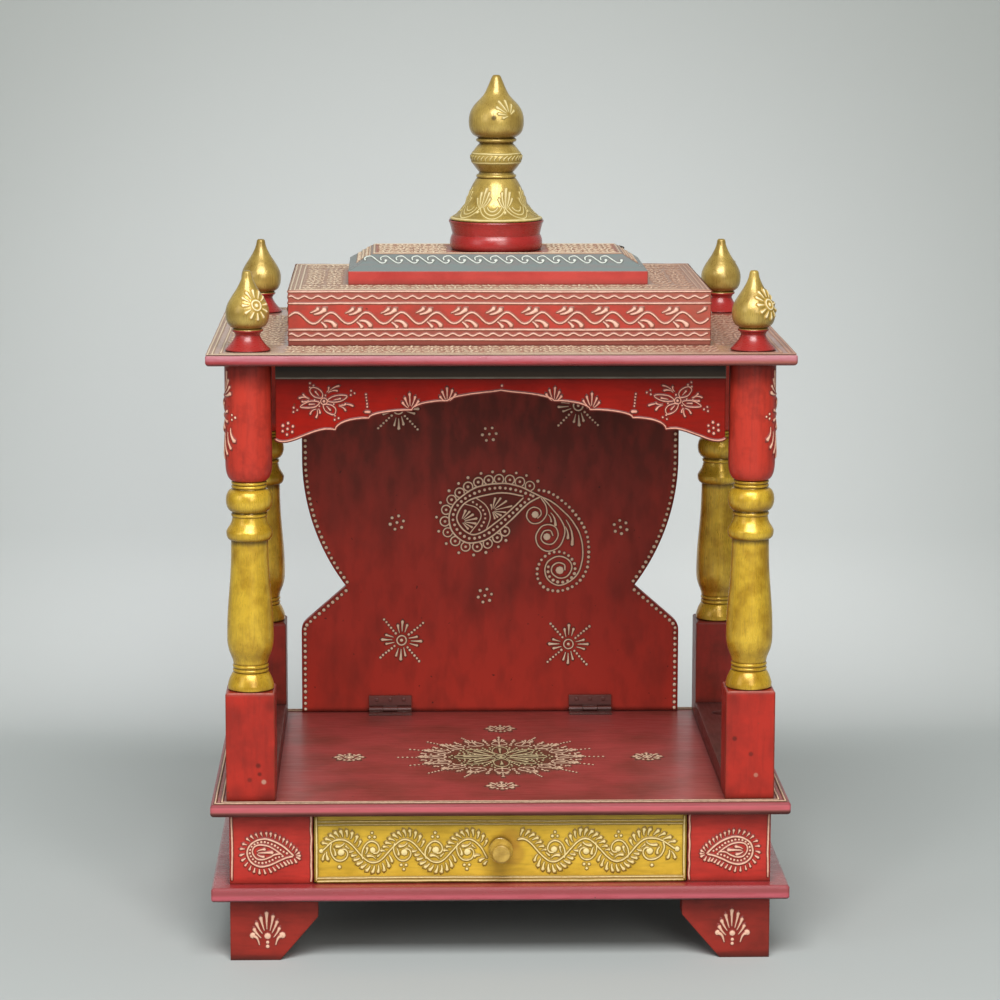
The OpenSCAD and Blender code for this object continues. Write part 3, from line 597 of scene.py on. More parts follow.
def pipeRelief(name, body, parts, material, look=pasteLook):
    # parts are pairs: the strokes in mm, and the face that they are piped on
    verts, quads, crests = [], [], []
    skirt, sides = look["skirt"], look["sides"]

    def put(spot, h, crest):
        verts.append(face(spot.x, spot.y, h))
        crests.append(crest)

    for line, widths, face in [(line, widths, face) for strokes, face in parts for line, widths in strokes]:
        grip = chance.uniform(0.9, 1.12)
        lift = look["lift"] * chance.uniform(0.5, 1.5)
        shake = sway(line[0], 0.3, (3.1, 7.7)) * look["wobble"]
        first = len(verts)
        if len(line) == 1:      # a bead: its top, two rings below it and the foot of its skirt
            r = widths[0] / 2 * grip
            rise = min(0.75 * r, 0.8)
            put(line[0] + shake, rise, 1.0)
            for reach, h, crest in ((0.62 * r, 0.82 * rise, 1.0), (r, 0.36 * rise, 0.72),
                                    (r + skirt, lift, 0.0)):
                for k in range(sides):
                    angle = math.tau * k / sides
                    put(line[0] + shake + Vector((math.cos(angle), math.sin(angle))) * reach, h, crest)
            quads += [(first, first + 1 + k, first + 1 + (k + 1) % sides) for k in range(sides)]
            for base in (first + 1, first + 1 + sides):
                quads += [(base + k, base + sides + k, base + sides + (k + 1) % sides, base + (k + 1) % sides)
                          for k in range(sides)]
            continue
        last = len(line) - 1
        stations = []
        for i, spot in enumerate(line):
            way = (line[min(i + 1, last)] - line[max(i - 1, 0)])
            way = way.normalized() if way.length > 0 else Vector((1, 0))
            drift = sway(spot, 0.14, (1.3, 5.9)) * look["wobble"]
            stations.append((spot + drift + shake * (0 if len(line) > 8 else 1), way, widths[i] * grip, 1.0))
        # both ends are rounded off by one narrower and lower station
        spot, way, width, full = stations[0]
        stations.insert(0, (spot - way * width * 0.36, way, width * 0.55, 0.62))
        spot, way, width, full = stations[-1]
        stations.append((spot + way * width * 0.36, way, width * 0.55, 0.62))
        for spot, way, width, full in stations:
            across = Vector((-way.y, way.x))
            h = look["height"] * min(width, 1.5) * full
            half = width / 2
            for offset, share, crest in ((-half - skirt, 0.0, 0.0), (-0.8 * half, 0.6, 0.75 * full),
                                         (0.0, 1.0, full), (0.8 * half, 0.6, 0.75 * full),
                                         (half + skirt, 0.0, 0.0)):
                put(spot + across * offset, max(h * share, lift), crest)
        for a in range(first, first + 5 * (len(stations) - 1), 5):
            quads += [(a + k, a + 5 + k, a + 6 + k, a + 1 + k) for k in range(4)]
        for tip, sign, base in ((stations[0], -1, first), (stations[-1], 1, first + 5 * (len(stations) - 1))):
            point = len(verts)
            put(tip[0] + tip[1] * sign * (tip[2] * 0.5 + skirt), lift, 0.0)
            for k in range(4):
                quads.append((base + k, base + k + 1, point) if sign < 0 else (base + k + 1, base + k, point))
    relief = newPiece(name, verts, quads)
    addPointValues(relief, "crest", crests)
    dress(relief, material)
    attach(relief, body)


def starburst():
    # a ring with a bead, four groups of three drops and four rows of beads
    strokes = ring(0, 0, 3.7) + dot(0, 0, 1.0)
    for quarter in range(4):
        strokes += moved(drops([((0, 15.2), (0, 7.2), 1.15), ((-3.5, 11.9), (-2.0, 5.6), 1.0),
                                ((3.7, 12.4), (2.1, 6.4), 1.0)]), turn=90 * quarter)
        for k in range(6):
            strokes += moved(dot(7.2 + 2.85 * k, 0, 0.75), turn=45 + 90 * quarter - 3)
    return strokes


def sevenDots(gap=5.3, radius=1.0):
    strokes = dot(0, 0, radius)
    for k in range(6):
        strokes += moved(dot(gap, 0, radius), turn=60 * k + 25)
    return strokes


def threeDots(gap=1.9, radius=0.85):
    return [stroke for k in range(3) for stroke in moved(dot(gap, 0, radius), turn=90 + 120 * k)]


def sunburst(petals=12, reach=9.6):
    strokes = ring(0, 0, 3.4) + dot(0, 0, 1.2)
    for k in range(petals):
        strokes += moved(drop((reach, 0), (5.2, 0), 1.15, steps=3), turn=360 * k / petals)
    return strokes


def scallops(line, gap, radius, width=0.9):
    # open rings standing on a line, each with a bead in its middle, and a bead beyond where two rings meet
    strokes = []
    for spot, way in spaced(line, gap):
        out = Vector((-way.y, way.x))
        middle = spot + out * (radius - 0.2)
        angles = [math.radians(-50 + 280 * k / 12) for k in range(13)]
        arc = [middle + (way * math.cos(a) + out * math.sin(a)) * radius for a in angles]
        strokes += [(arc, [width] * len(arc))]
        strokes += dot(*middle, 0.9) + dot(*(spot + way * gap / 2 + out * (2 * radius + 2.2)), 0.95)
    return strokes


# brushed enamel in coats; every size is in mm, brush is how the strokes are drawn out along x, y, z;
# bands are (axis, start, end, colour, amount, how patchy), and patches (middle, rim, full, colour, amount)
enamelLook = {
    "base": "#bb392b", "second": "#9a2f26", "wash": "#4c1b13", "edge": "#5e3322",
    "cloudMm": 34, "cloudFrom": 0.40, "cloudTo": 0.66, "cloudDrawn": (1.0, 1.0, 1.0),
    "brush": (0.14, 1.0, 1.0), "brushMm": 2.6, "brushAmount": 0.20,
    "cornerMm": 5.0, "cornerAmount": 0.75, "cornerFull": 0.45,
    "edgeMm": 1.3, "edgeFrom": 0.985, "edgeAmount": 0.65, "nibbleMm": 6, "pitMm": 4.5,
    "roughness": 0.36, "bump": 0.30, "bumpMm": 0.6, "coat": 0.10, "sheen": 0.25,
}
uprightLook = dict(enamelLook, brush=(1.0, 1.0, 0.14))

# where the paints change, in mm
floorMm, trayFront = boxMm("tray_board")[1].z, boxMm("tray_board")[0].y
boxTop = boxMm("roof_box")[1].z
drawerLow, drawerHigh = boxMm("drawer_front")
drawerMiddle = (drawerLow.z + drawerHigh.z) / 2
postTop = boxMm("post_front_left")[1].z
apronFoot = boxMm("apron_front")[0].z
undersideLevel = boxMm("roof_board")[0].z

redEnamel = enamelPaint("red enamel over mango wood", enamelLook)
stileEnamel = enamelPaint("red enamel, stiles", dict(
    enamelLook, base="#c8372c", second="#b23026",
    # darker just under the tray: painted shade from its overhang
    bands=[("Z", floorMm - 20, floorMm - 9, "#7a2219", 0.5, 0.4)]))
postLook = dict(
    uprightLook, base="#b52d20", second="#9c281d", edge="#5c3a26", edgeMm=2.4, edgeAmount=0.7, cloudMm=22)
frontPosts = enamelPaint("red enamel, rubbed at the corners", dict(
    # a pale painted highlight along the top edge of the front posts
    postLook, bands=[("Z", postTop - 1.4, postTop - 0.2, "#c98c80", 0.7, 0.6)], patches=[
        ((-169.7, -141.7, 141.3), 2.6, 0.8, "#5a1a12", 0.8),        # knots and chips
        ((-168.8, -141.7, 135.2), 2.2, 0.6, "#5a1a12", 0.8),
        ((-175.8, -141.7, 131.1), 2.4, 0.8, "#6a2018", 0.7),
        ((-165.9, -141.7, 129.6), 2.2, 1.0, "#c9a08a", 0.7),
        ((164.0, -141.7, 159.2), 2.6, 0.8, "#5a1a12", 0.8),
        ((175.6, -141.7, 148.0), 2.4, 0.8, "#5a1a12", 0.7),
        ((179.3, -141.7, 132.9), 2.0, 1.0, "#c08a74", 0.6),
        ((-162.5, -140.0, 117.0), 11.0, 2.0, "#6a1a12", 0.6),       # darker corners: smudges at the foot, painted shade near the top
        ((-185.0, -140.0, 122.0), 9.0, 1.0, "#7a2018", 0.5),
        ((-160.5, -140.0, 184.0), 7.0, 1.0, "#641a12", 0.55),
        ((-187.5, -140.0, 176.0), 12.0, 2.0, "#7c2219", 0.45),
        ((162.0, -140.0, 188.0), 9.0, 1.0, "#641a12", 0.5),
        ((160.0, -140.0, 120.0), 9.0, 1.0, "#7a2018", 0.5)]))
# the back posts: the front posts' red painted darker, as painted shade
shadedBackPosts = enamelPaint("red enamel, back posts", dict(
    postLook, base="#8c2a20", second="#6e2419", wash="#34130c"))
footEnamel = enamelPaint("red enamel, feet", dict(
    enamelLook, base="#9c2d22", second="#7f271d", bands=[("Z", 7, 0, "#3f1a14", 0.8, 0.4)]))
# painted darker than the drums' red, and darker still towards its right end: painted shade under the roof
valanceEnamel = enamelPaint("deep red enamel, valance", dict(
    enamelLook, base="#a0190e", second="#86160d", wash="#3c0e08", edgeAmount=0.3, cloudMm=55, sheen=0.12,
    coat=0.0, bands=[("X", 40.0, 150.0, "#7a160c", 0.6, 0.4)]))
# the moulded edge is satin, with a pink painted highlight along its middle and painted shade under it
boardLook = dict(
    enamelLook, base="#a8343a", second="#96302f", wash="#4f1f1a", edge="#6a3a30", edgeMm=3.2, edgeFrom=0.80,
    edgeAmount=0.35, roughness=0.28, coat=0.45, sheen=0.4, bump=0.12, brushAmount=0.12)


def edgeSheenAndShade(node, look):
    # the moulded edge: the pink painted highlight, the painted tone of its upper part and the painted shade at
    # its foot, as shares of its height
    low, high = boxMm(node)
    bands = []
    for key, amount, patchy in (("pink", 0.9, 0.35), ("upper", 0.75, 0.3), ("dark", 0.95, 0.2)):
        start, end, colour = look[key]
        tall = high.z - low.z
        bands.append(("Z", low.z + tall * start, low.z + tall * end, colour, amount, patchy))
    return bands


baseEdge = {"pink": (0.02, 0.22, "#cb5f6c"), "upper": (0.32, 0.60, "#8c3c3a"), "dark": (0.12, 0.0, "#56201a")}
trayEdge = {"pink": (0.30, 0.52, "#cc5f69"), "upper": (0.74, 0.86, "#86343a"), "dark": (0.46, 0.18, "#4a120c")}
roofEdge = {"pink": (0.30, 0.62, "#bd7681"), "upper": (0.86, 0.94, "#cf9a94"), "dark": (0.34, 0.06, "#5e2320")}
boardEnamel = enamelPaint("burgundy enamel, base board", dict(
    # the underside of the base board is painted near black: painted shade
    boardLook, bands=edgeSheenAndShade("base_board", baseEdge) + [("facing Z", -0.3, -0.8, "#2a140f", 0.9, 0.4)]))
trayEnamel = enamelPaint("burgundy enamel, tray", dict(
    boardLook, base="#ab4844", second="#8a3f36", wash="#5a2a24", cloudMm=60, roughness=0.40, sheen=0.35,
    coat=0.2, bump=0.03, brushAmount=0.04, cornerFull=0.3, cornerAmount=0.5,
    bands=[("Y", trayFront + 8.5, trayFront + 6.9, "#96685a", 0.55, 0.4),
           ("Y", trayFront + 4.1, trayFront + 2.9, "#8a4a44", 0.6, 0.4)] + edgeSheenAndShade("tray_board", trayEdge),
    patches=[((3.8, -12, floorMm), 62, 48, "#5a402c", 0.8)]))
roofEnamel = enamelPaint("burgundy enamel, roof board under a close pattern", dict(
    boardLook, bands=[("facing Z", 0.75, 0.95, "#b99078", 0.95, 0.2), ("X", 60.0, 170.0, "#a05a4a", 0.85, 0.3)]
    + edgeSheenAndShade("roof_board", roofEdge)))
panelEnamel = enamelPaint("deep red enamel, back panel", dict(
    uprightLook, brush=(1.0, 1.0, 0.4), base="#bd3729", second="#8a2e22", wash="#451f14", edge="#3f1c14",
    edgeMm=5.0, edgeAmount=0.5, cloudMm=58, cloudFrom=0.50, cloudTo=0.72, cloudDrawn=(1.0, 1.0, 0.45),
    brushAmount=0.25, brushMm=9, roughness=0.42, coat=0.05, bump=0.15,
    # darker towards the top: painted shade under the roof, partly the paint's own darker maroon
    bands=[("Z", floorMm + 95, floorMm + 240, "#5c281c", 0.85, 0.5),
           ("facing Y", 0.4, 0.8, "#932f24", 0.85, 0.4)],
    patches=[((-3, 141.5, floorMm + 158), 34, 22, "#54271b", 0.6)]))
boxEnamel = enamelPaint("red enamel, roof box", dict(
    enamelLook, base="#ba4438", second="#a04236", wash="#6d3a2e", cloudMm=16, brushAmount=0.15,
    bands=[("Z", boxTop - 9.8, boxTop - 8.4, "#a15a4c", 0.85, 0.4),
           ("Z", boxTop - 26.4, boxTop - 28.0, "#96564a", 0.85, 0.4),
           ("Z", boxTop - 34.6, boxTop - 35.4, "#8c443a", 0.8, 0.4),
           ("facing Z", 0.5, 0.9, "#b5957c", 0.95, 0.2), ("X", 90.0, 140.0, "#a8705a", 0.35, 0.4)]))
capEnamel = enamelPaint("grey green enamel, cap", dict(
    enamelLook, base="#c44a42", second="#b23e38", wash="#7a3a30", edge="#7a5a48", edgeAmount=0.5,
    brushAmount=0.12, bands=[("facing Z", 0.35, 0.6, "#7b8583", 1.0, 0.1),
                             ("facing Z", 0.93, 0.98, "#a8604c", 1.0, 0.1)]))
yellowEnamel = enamelPaint("golden yellow enamel, drawer front", dict(
    enamelLook, base="#e4b93a", second="#cda42c", wash="#6b5218", edge="#5d4a1e", cloudMm=30, edgeMm=0.9,
    cornerAmount=0.85, cornerMm=2.6, cornerFull=0.72, brushAmount=0.25,
    bands=[("Z", drawerHigh.z - 7.6, drawerHigh.z - 4.6, "#b3983e", 0.5, 0.6),
           ("Z", drawerLow.z + 4.0, drawerLow.z + 3.0, "#7d6a2a", 0.8, 0.4)],
    patches=[((x, drawerLow.y, drawerMiddle + rise), rim, 6, "#a8782a", 0.5)      # handled, round the knob
             for x, rise, rim in ((1.0, 0.0, 14), (9.0, -5.0, 10), (7.0, 6.0, 10))]))
railEnamel = enamelPaint("brown maroon enamel, rails", dict(
    enamelLook, base="#68342e", second="#5a2a26", wash="#22110c", edge="#84605a", edgeMm=1.8, edgeAmount=0.7,
    brush=(1.0, 0.14, 1.0), brushAmount=0.08, cornerMm=7.0, cornerAmount=0.9, cornerFull=0.5))
blackEnamel = enamelPaint("black enamel, aprons", dict(
    enamelLook, base="#2a2118", second="#221a13", wash="#14100c", edge="#7d7166", edgeMm=1.6, roughness=0.42,
    coat=0.0, bands=[("Z", apronFoot + 6.7, apronFoot + 3.2, "#3a2c20", 0.8, 0.4),
                     # a pale line along the apron's foot: painted highlight, partly wear
                     ("Z", apronFoot + 1.6, apronFoot + 0.6, "#8d8274", 0.7, 0.6)]))
spireFootEnamel = enamelPaint("glossy red enamel, turned foot", dict(
    enamelLook, base="#ac2c29", second="#96261f", wash="#5c1a14", edge="#5a2a1c", brush=(1.0, 1.0, 4.0),
    roughness=0.28, coat=0.35, sheen=0.5, edgeAmount=0.4, bump=0.15))
drumEnamel = enamelPaint("red enamel, turned drums", dict(
    uprightLook, base="#bd3829", second="#8f2a1f", wash="#5c1c14", edge="#5a2418", roughness=0.34,
    edgeAmount=0.2, cloudMm=15, cloudFrom=0.48, cloudTo=0.76, brushAmount=0.25,
    # darker at the drums' tops: painted shade under the roof
    bands=[("Z", undersideLevel - 21.5, undersideLevel - 7.5, "#5c1a12", 0.6, 0.4)]))
hingeEnamel = enamelPaint("maroon enamel over pressed steel", dict(
    enamelLook, base="#74403a", second="#5c302a", wash="#2c1712", edge="#9a7a68", edgeMm=0.5, roughness=0.34,
    sheen=0.5))
knobEnamel = enamelPaint("rubbed gold enamel, knob", dict(
    enamelLook, base="#cda648", second="#ac862e", wash="#4a3412", edge="#5e4020", cloudMm=7, edgeMm=0.6,
    cornerMm=3.5, brushAmount=0.08, roughness=0.26, coat=0.6, sheen=0.5))
goldLook = {
    "base": "#e6bc38", "second": "#b88c1c", "wash": "#54390f", "under": "#6b4514",
    "cloudMm": 16, "brush": (1.0, 1.0, 0.12), "brushMm": 1.6, "streaks": 0.30, "cornerMm": 4.0,
    "washAmount": 0.7, "roughness": 0.28, "bumpMm": 0.5, "metallic": 0.34, "coat": 0.45, "sheen": 0.35,
}
goldPillar = goldPaint("gold leaf paint, pillars", goldLook)
goldFinial = goldPaint("gold leaf paint, finials", dict(
    goldLook, base="#c6a955", second="#a3863e", wash="#66501f", washAmount=0.55,
    patches=[((-2.3, -19.0, 585.7), 2.4, 1.0, "#3a2a18", 0.75)]))
bareMango = bareWood("bare mango wood", {
    "along": (1.0, 0.10, 1.0), "ringMm": 5.0, "poreMm": 1.2, "bumpMm": 0.4,
    "early": "#c49a6a", "late": "#9c7044", "pore": "#6f4a2a"})
plywood = bareWood("thin plywood", {
    "along": (0.10, 1.0, 1.0), "ringMm": 8.0, "poreMm": 1.2, "bumpMm": 0.4,
    "early": "#cfa878", "late": "#b58a58", "pore": "#8a6440"})

pasteColours = {    # what is piped on: crest, slope in painted shade, the wash at its foot, and the paint it stands on
    "red": ("#f0c4a8", "#d99a80", "#7a251c", "#a83226"),
    "valance": ("#dfa18a", "#b9705c", "#4a130c", "#94200f"),
    "yellow": ("#f4e0a0", "#cfa953", "#866a22", "#c19c30"),
    # on the panel the paste is painted lighter than elsewhere, as painted light against the shade it stands in
    "panel": ("#ffe8cc", "#f4c9a6", "#5a2016", "#83291e"),
    "roof box": ("#efc4ae", "#cf9480", "#82503f", "#a85648"),
    "roof top": ("#e4d2b8", "#cfb698", "#a4826c", "#b89480"),
    "cap": ("#dcdfd6", "#b9c0b6", "#5f6862", "#858c88"),
    "spire": ("#dccb92", "#c9b472", "#96803e", "#bda050"),
    "gold": ("#f4e6b8", "#dcc282", "#b08a3a", "#c7a648"),
    "tray": ("#e2c2a6", "#b89478", "#5c3428", "#84463c"),
    "tray heart": ("#d0be96", "#a48e66", "#4c3826", "#5a422c"),
}
pasteFaded = {"roof top": (40.0, 175.0, "#a5604e", 0.55)}     # from x to x in mm, what shows through, how much
paste = {}
for ground, colours in pasteColours.items():
    look = dict(zip(("cream", "shade", "halo", "ground"), colours), speckMm=2.6)
    if ground in pasteFaded:
        look["faded"] = pasteFaded[ground]
    paste[ground] = pipedPaste("cone-piped relief paste on " + ground, look)

coats = {       # by how the node's name starts; the longest start wins
    "foot_": footEnamel, "case_": redEnamel, "stile_": stileEnamel, "post_front": frontPosts,
    "post_back": shadedBackPosts, "valance": valanceEnamel, "roof_box": boxEnamel, "roof_cap": capEnamel,
    "roof_board": roofEnamel, "base_board": boardEnamel, "tray_board": trayEnamel, "rail_": railEnamel,
    "back_panel": panelEnamel, "drawer_front": yellowEnamel, "drawer_knob": knobEnamel,
    "drawer_bottom": plywood, "drawer_": bareMango, "apron": blackEnamel, "hinge_": hingeEnamel,
    "spire_foot": spireFootEnamel, "spire": goldFinial, "pillar_": goldPillar, "finial_": goldFinial,
}
for node in nodes:
    match = [start for start in coats if node.startswith(start)]
    dress(nodes[node], coats[max(match, key=len)])
print("stage 3: paints mixed, %d pieces painted" % len(nodes))
# the drawer front: a running vine between cream lines, mirrored about the knob
drawerLook = {
    "waveLevel": -2.2,          # mm above the middle of the front
    "swing": 8.4,
    "halfWave": 22.2,
    "firstCrest": -111.6,
    "lines": ((19.2, 0.6), (16.9, 0.55), (-21.6, 0.9), (-23.9, 0.9)),      # heights and widths
    "farSize": 1.01, "farShift": -8.2,      # the right half was drawn nearer the middle,
    "farEnd": 112.0, "farStretch": 0.37,    # and stretched from here on to its end
    "knobReach": 12.0,
}


def vineCurl():
    # what fills one half wave: a branch that curls in on itself, and small leaves
    branch = [(-7.4, -2.9), (-8.0, -5.6), (-7.7, -8.8), (-6.2, -12.4), (-3.6, -14.9), (-0.6, -15.4),
              (2.2, -14.0), (3.8, -11.4), (3.8, -8.8), (2.2, -7.0), (0.0, -6.9)]
    return pipe(branch, 1.05) + dot(-0.6, -9.2, 2.3) + drops([
        ((-4.2, -4.9), (1.8, -2.6), 1.2, -0.16), ((-4.5, -11.0), (-5.8, -6.4), 1.15, -0.1),
        ((2.8, -4.6), (5.4, -6.8), 0.75)])


def vineLeaves():
    # leaves that stand off the stem over one crest
    return drops([(head, tail, radius * 1.2, 0.07) for head, tail, radius in (
        ((-17.0, -8.0), (-13.8, -8.6), 0.75), ((-15.2, -5.4), (-11.6, -5.9), 0.9),
        ((-13.5, -2.3), (-9.6, -3.4), 1.05), ((-11.2, 0.7), (-7.3, -1.0), 1.15),
        ((-8.3, 3.4), (-4.9, 0.9), 1.2), ((-4.9, 5.4), (-2.3, 2.1), 1.25), ((-0.9, 6.7), (0.6, 2.2), 1.25),
        ((3.2, 6.7), (3.5, 1.9), 1.25), ((7.3, 5.3), (6.3, 0.4), 1.2), ((10.7, 2.6), (8.7, -2.4), 1.15),
        ((13.1, -1.0), (10.9, -5.4), 1.0))])


def vineHalf(look, curls):
    # the vine from the left end to the knob; the first waves hold a curl each
    level, swing, half, first = look["waveLevel"], look["swing"], look["halfWave"], look["firstCrest"]
    stem = [(-126.0, -1.8), (-124.4, -0.8), (-121.6, 2.0), (-118.8, 4.4), (-115.2, 6.0)]
    stem += [(first + step * half / 9, level + swing * math.cos(math.pi * step / 9)) for step in range(41)]
    strokes = pipe(stem + [(-9.6, -7.2)], 1.1, 2) + dot(-126.2, -1.7, 1.7)
    for k in range(5):
        unit = vineLeaves()
        if k < curls:
            unit += vineCurl()
            unit += moved(threeDots(2.0, 0.95), -1.0, -19.6, turn=180) if k > 0 else dot(-1.8, -19.6, 1.1)
        if k % 2 == 1:
            unit = moved(unit, turn=180, flip=True)
        unit = moved(unit, first + k * half, level + (swing if k % 2 == 0 else -swing))
        strokes += [stroke for stroke in unit if -126.4 < stroke[0][0].x < -9.5]
    return strokes + drops([(head, tail, 1.3, 0.08) for head, tail in (
        ((-18.5, -6.1), (-14.3, -5.5)), ((-14.7, -9.5), (-11.3, -7.8)), ((-11.6, -12.0), (-9.4, -9.9)),
        ((-125.2, -8.0), (-123.4, -3.4)), ((-121.3, -7.8), (-122.2, -2.4)))])


def farHalf(look, strokes):
    # the right half, without what the knob covers
    result = []
    for line, widths in strokes:
        line = [Vector((look["farSize"] * p.x + look["farShift"]
                        + look["farStretch"] * max(0.0, p.x - look["farEnd"]), p.y)) for p in line]
        kept = [(p, width) for p, width in zip(line, widths) if p.x > look["knobReach"]]
        if kept:
            result.append(([p for p, width in kept], [width for p, width in kept]))
    return result


def drawerVine(look, halfLength):
    strokes = vineHalf(look, 5) + farHalf(look, moved(vineHalf(look, 4), flip=True))
    for side in (-1, 1):
        strokes += pipe([(side * (halfLength - 1.5), 22.3), (side * (halfLength - 1.7), 0),
                         (side * (halfLength - 1.4), -23.0)], 1.2)
    for height, width in look["lines"]:
        strokes += pipe([(-halfLength + 2, height), (-40, height + 0.2), (45, height - 0.15),
                         (halfLength - 2, height)], width, 14)
    return strokes


drawerFace = frontFace(0, drawerLow.y, drawerMiddle)
pipeRelief("drawerVine", "drawer", [(drawerVine(drawerLook, drawerHigh.x), drawerFace)], paste["yellow"])


# left and right of the drawer: a paisley with its rim of dashes
def stilePaisley():
    outer = [(15.6, -5.0), (10.4, 0.2), (4.2, 4.4), (-0.9, 6.4), (-4.9, 7.0), (-10.2, 5.9), (-14.8, 2.6),
             (-16.8, -2.6), (-15.4, -8.0), (-12.0, -11.4), (-6.8, -13.1), (-1.2, -12.0), (4.7, -9.2),
             (9.8, -6.8), (15.0, -5.6)]
    inner = [(7.4, -4.4), (1.2, 0.2), (-3.3, 2.2), (-8.4, 2.7), (-11.9, 1.3), (-13.1, -1.8), (-11.9, -5.2),
             (-9.2, -7.5), (-5.2, -7.8), (-1.1, -6.3), (2.3, -4.4), (6.2, -3.8)]
    between = [(11.0, -3.4), (7.0, -1.2), (2.6, 2.3), (-4.2, 4.7), (-9.4, 4.2), (-13.3, 2.0), (-15.0, -2.2),
               (-13.6, -6.8), (-10.5, -9.6), (-6.0, -10.5), (-1.2, -9.2), (3.4, -6.8), (8.0, -5.6)]
    strokes = pipe(outer, 1.2) + pipe(inner, 1.0) + beads(between, 2.5, 0.72) + drops([
        ((-4.4, -0.4), (-10.0, -1.9), 1.05, -0.08), ((0.8, -2.7), (-9.4, -2.9), 1.35),
        ((-5.0, -6.0), (-10.0, -3.9), 1.05, 0.08)])
    for spot, way in spaced(flow(outer), 2.75):
        out = (Vector((way.y, -way.x)) + way * 0.30).normalized()
        strokes += drop(spot + out * 5.0, spot + out * 2.0, 0.95, steps=2)
    tip = Vector((15.4, -5.3))
    for angle in (28, 2, -24):
        way = Vector((math.cos(math.radians(angle)), math.sin(math.radians(angle))))
        strokes += drop(tip + way * 4.9, tip + way * 2.0, 0.9, steps=2)
    return strokes


def stileStrokes(halfWidth, halfHeight):
    nearLine = [(-halfWidth + 1.4, halfHeight - 1.5), (-halfWidth + 1.9, 0), (-halfWidth + 1.5, 3 - halfHeight)]
    farLine = [(halfWidth - 1.2 + 0.2 * math.sin(k * 1.9), halfHeight - 1.5 - k * (2 * halfHeight - 3) / 12)
               for k in range(13)]
    return stilePaisley() + pipe(nearLine, 1.15) + pipe(farLine, 1.1)


for name, node in (("paisleyLeft", "stile_left"), ("paisleyRight", "stile_right")):
    low, high = boxMm(node)
    strokes = stileStrokes((high.x - low.x) / 2, (high.z - low.z) / 2)
    stileFace = frontFace((low.x + high.x) / 2, low.y, (low.z + high.z) / 2)
    pipeRelief(name, "temple", [(moved(strokes, flip=node == "stile_right"), stileFace)], paste["red"])
# a palmette on the front of each front foot
footLook = {"fromOutside": 26.2, "aboveFloor": 17.8}    # where the palmette's middle bead sits, mm


def footPalmette():
    strokes = drops([(head, tail, 1.45, 0.004 * head[0]) for head, tail in (
        ((-0.6, 16.8), (-0.4, 5.0)), ((-4.8, 13.6), (-2.2, 4.0)), ((-7.8, 9.4), (-3.6, 1.8)),
        ((-9.4, 5.0), (-4.6, -1.6)), ((3.9, 14.6), (1.8, 4.0)), ((6.8, 10.4), (3.2, 2.2)),
        ((8.4, 5.6), (4.2, -1.2)))], 5)
    for side in (-1, 1):
        scroll = flow([(side * 9.8, 0.0), (side * 7.9, -0.9), (side * 6.7, -3.0), (side * 5.6, -6.6)], 4)
        strokes += [(scroll, [2.6 - 2.0 * k / (len(scroll) - 1) for k in range(len(scroll))])]
        strokes += dot(side * 10.4, 0.4, 2.15)
    return strokes + dot(0, 0, 2.1) + dot(0, -4.6, 1.15) + dot(0, -7.6, 1.2)


for name, node in (("palmetteLeft", "foot_front_left"), ("palmetteRight", "foot_front_right")):
    low, high = boxMm(node)
    middle = low.x + footLook["fromOutside"] if low.x < 0 else high.x - footLook["fromOutside"]
    footFace = frontFace(middle, low.y, footLook["aboveFloor"])
    pipeRelief(name, "temple", [(footPalmette(), footFace)], paste["red"])


# the back panel: a great paisley with a scrolling tail, star bursts and beads; heights are over the tray
panelLook = {
    "sevenDots": ((-1, 219), (-72.5, 150), (101, 146), (-4.2, 92.2)),
    "starbursts": ((-69, 57), (61, 53.5), (-71, 238.5), (67.5, 241)),
    "boldness": 1.16,       # lines were piped fatter here
    "beadGap": 4.6, "beadInset": 2.6, "beadRadius": 1.2,
    "skirt": 0.5,
}


def panelPaisley():
    outer = [(38.6, 170.0), (29, 164.6), (19, 155), (9, 145.5), (-1, 137.6), (-12, 134), (-21, 135.2),
             (-29.6, 143), (-32, 154), (-28, 165), (-17, 174.2), (-8, 178.4), (8, 180.6), (22, 178.4),
             (38.6, 170.4)]
    inner = [(25.4, 169.2), (18, 162.0), (10, 154.6), (-2, 145.2), (-10, 141), (-16, 141), (-22, 145.5),
             (-26, 154), (-21, 164), (-10, 169.8), (8.5, 173.2), (25.2, 170.6)]
    between = [(33, 170.6), (27, 166), (17, 157), (7.5, 148.5), (-2.2, 141.0), (-12, 137.5), (-19.5, 138.6),
               (-26.2, 144.8), (-29, 154), (-25, 164), (-14.5, 171.8), (-4, 175.6), (8, 177.0), (20, 175.2),
               (31, 171.4)]
    strokes = pipe(outer, 1.1) + pipe(inner, 1.0) + beads(between, 4.1, 0.95)
    strokes += pipe([(-11.6, 169.4), (-3.6, 163.4), (-0.2, 154), (-3.4, 144.2)], 0.8)
    strokes += pipe([(-19.5, 164.4), (-10.4, 161.0), (-7.4, 153.4), (-15.8, 141.4)], 0.8)
    strokes += beads([(-13.4, 165.8), (-6.2, 160.6), (-4.0, 153.4), (-8.6, 144.2)], 3.5, 0.75)
    strokes += fan((-22.6, 151), (9.0, 10.0, 10.4, 12.0, 11.6, 9.6, 8.0), 10, 118, 0.95, 0.24)
    strokes += fan((1.2, 159), (5.0, 10.2, 12.0, 13.6, 15.6, 10.8, 7.8, 6.4, 6.4), 14, 168, 0.9, 0.18)
    rim = flow(outer[3:14] + [(29, 175.4)])
    return strokes + scallops(rim, 7.8, 3.6, 0.95)


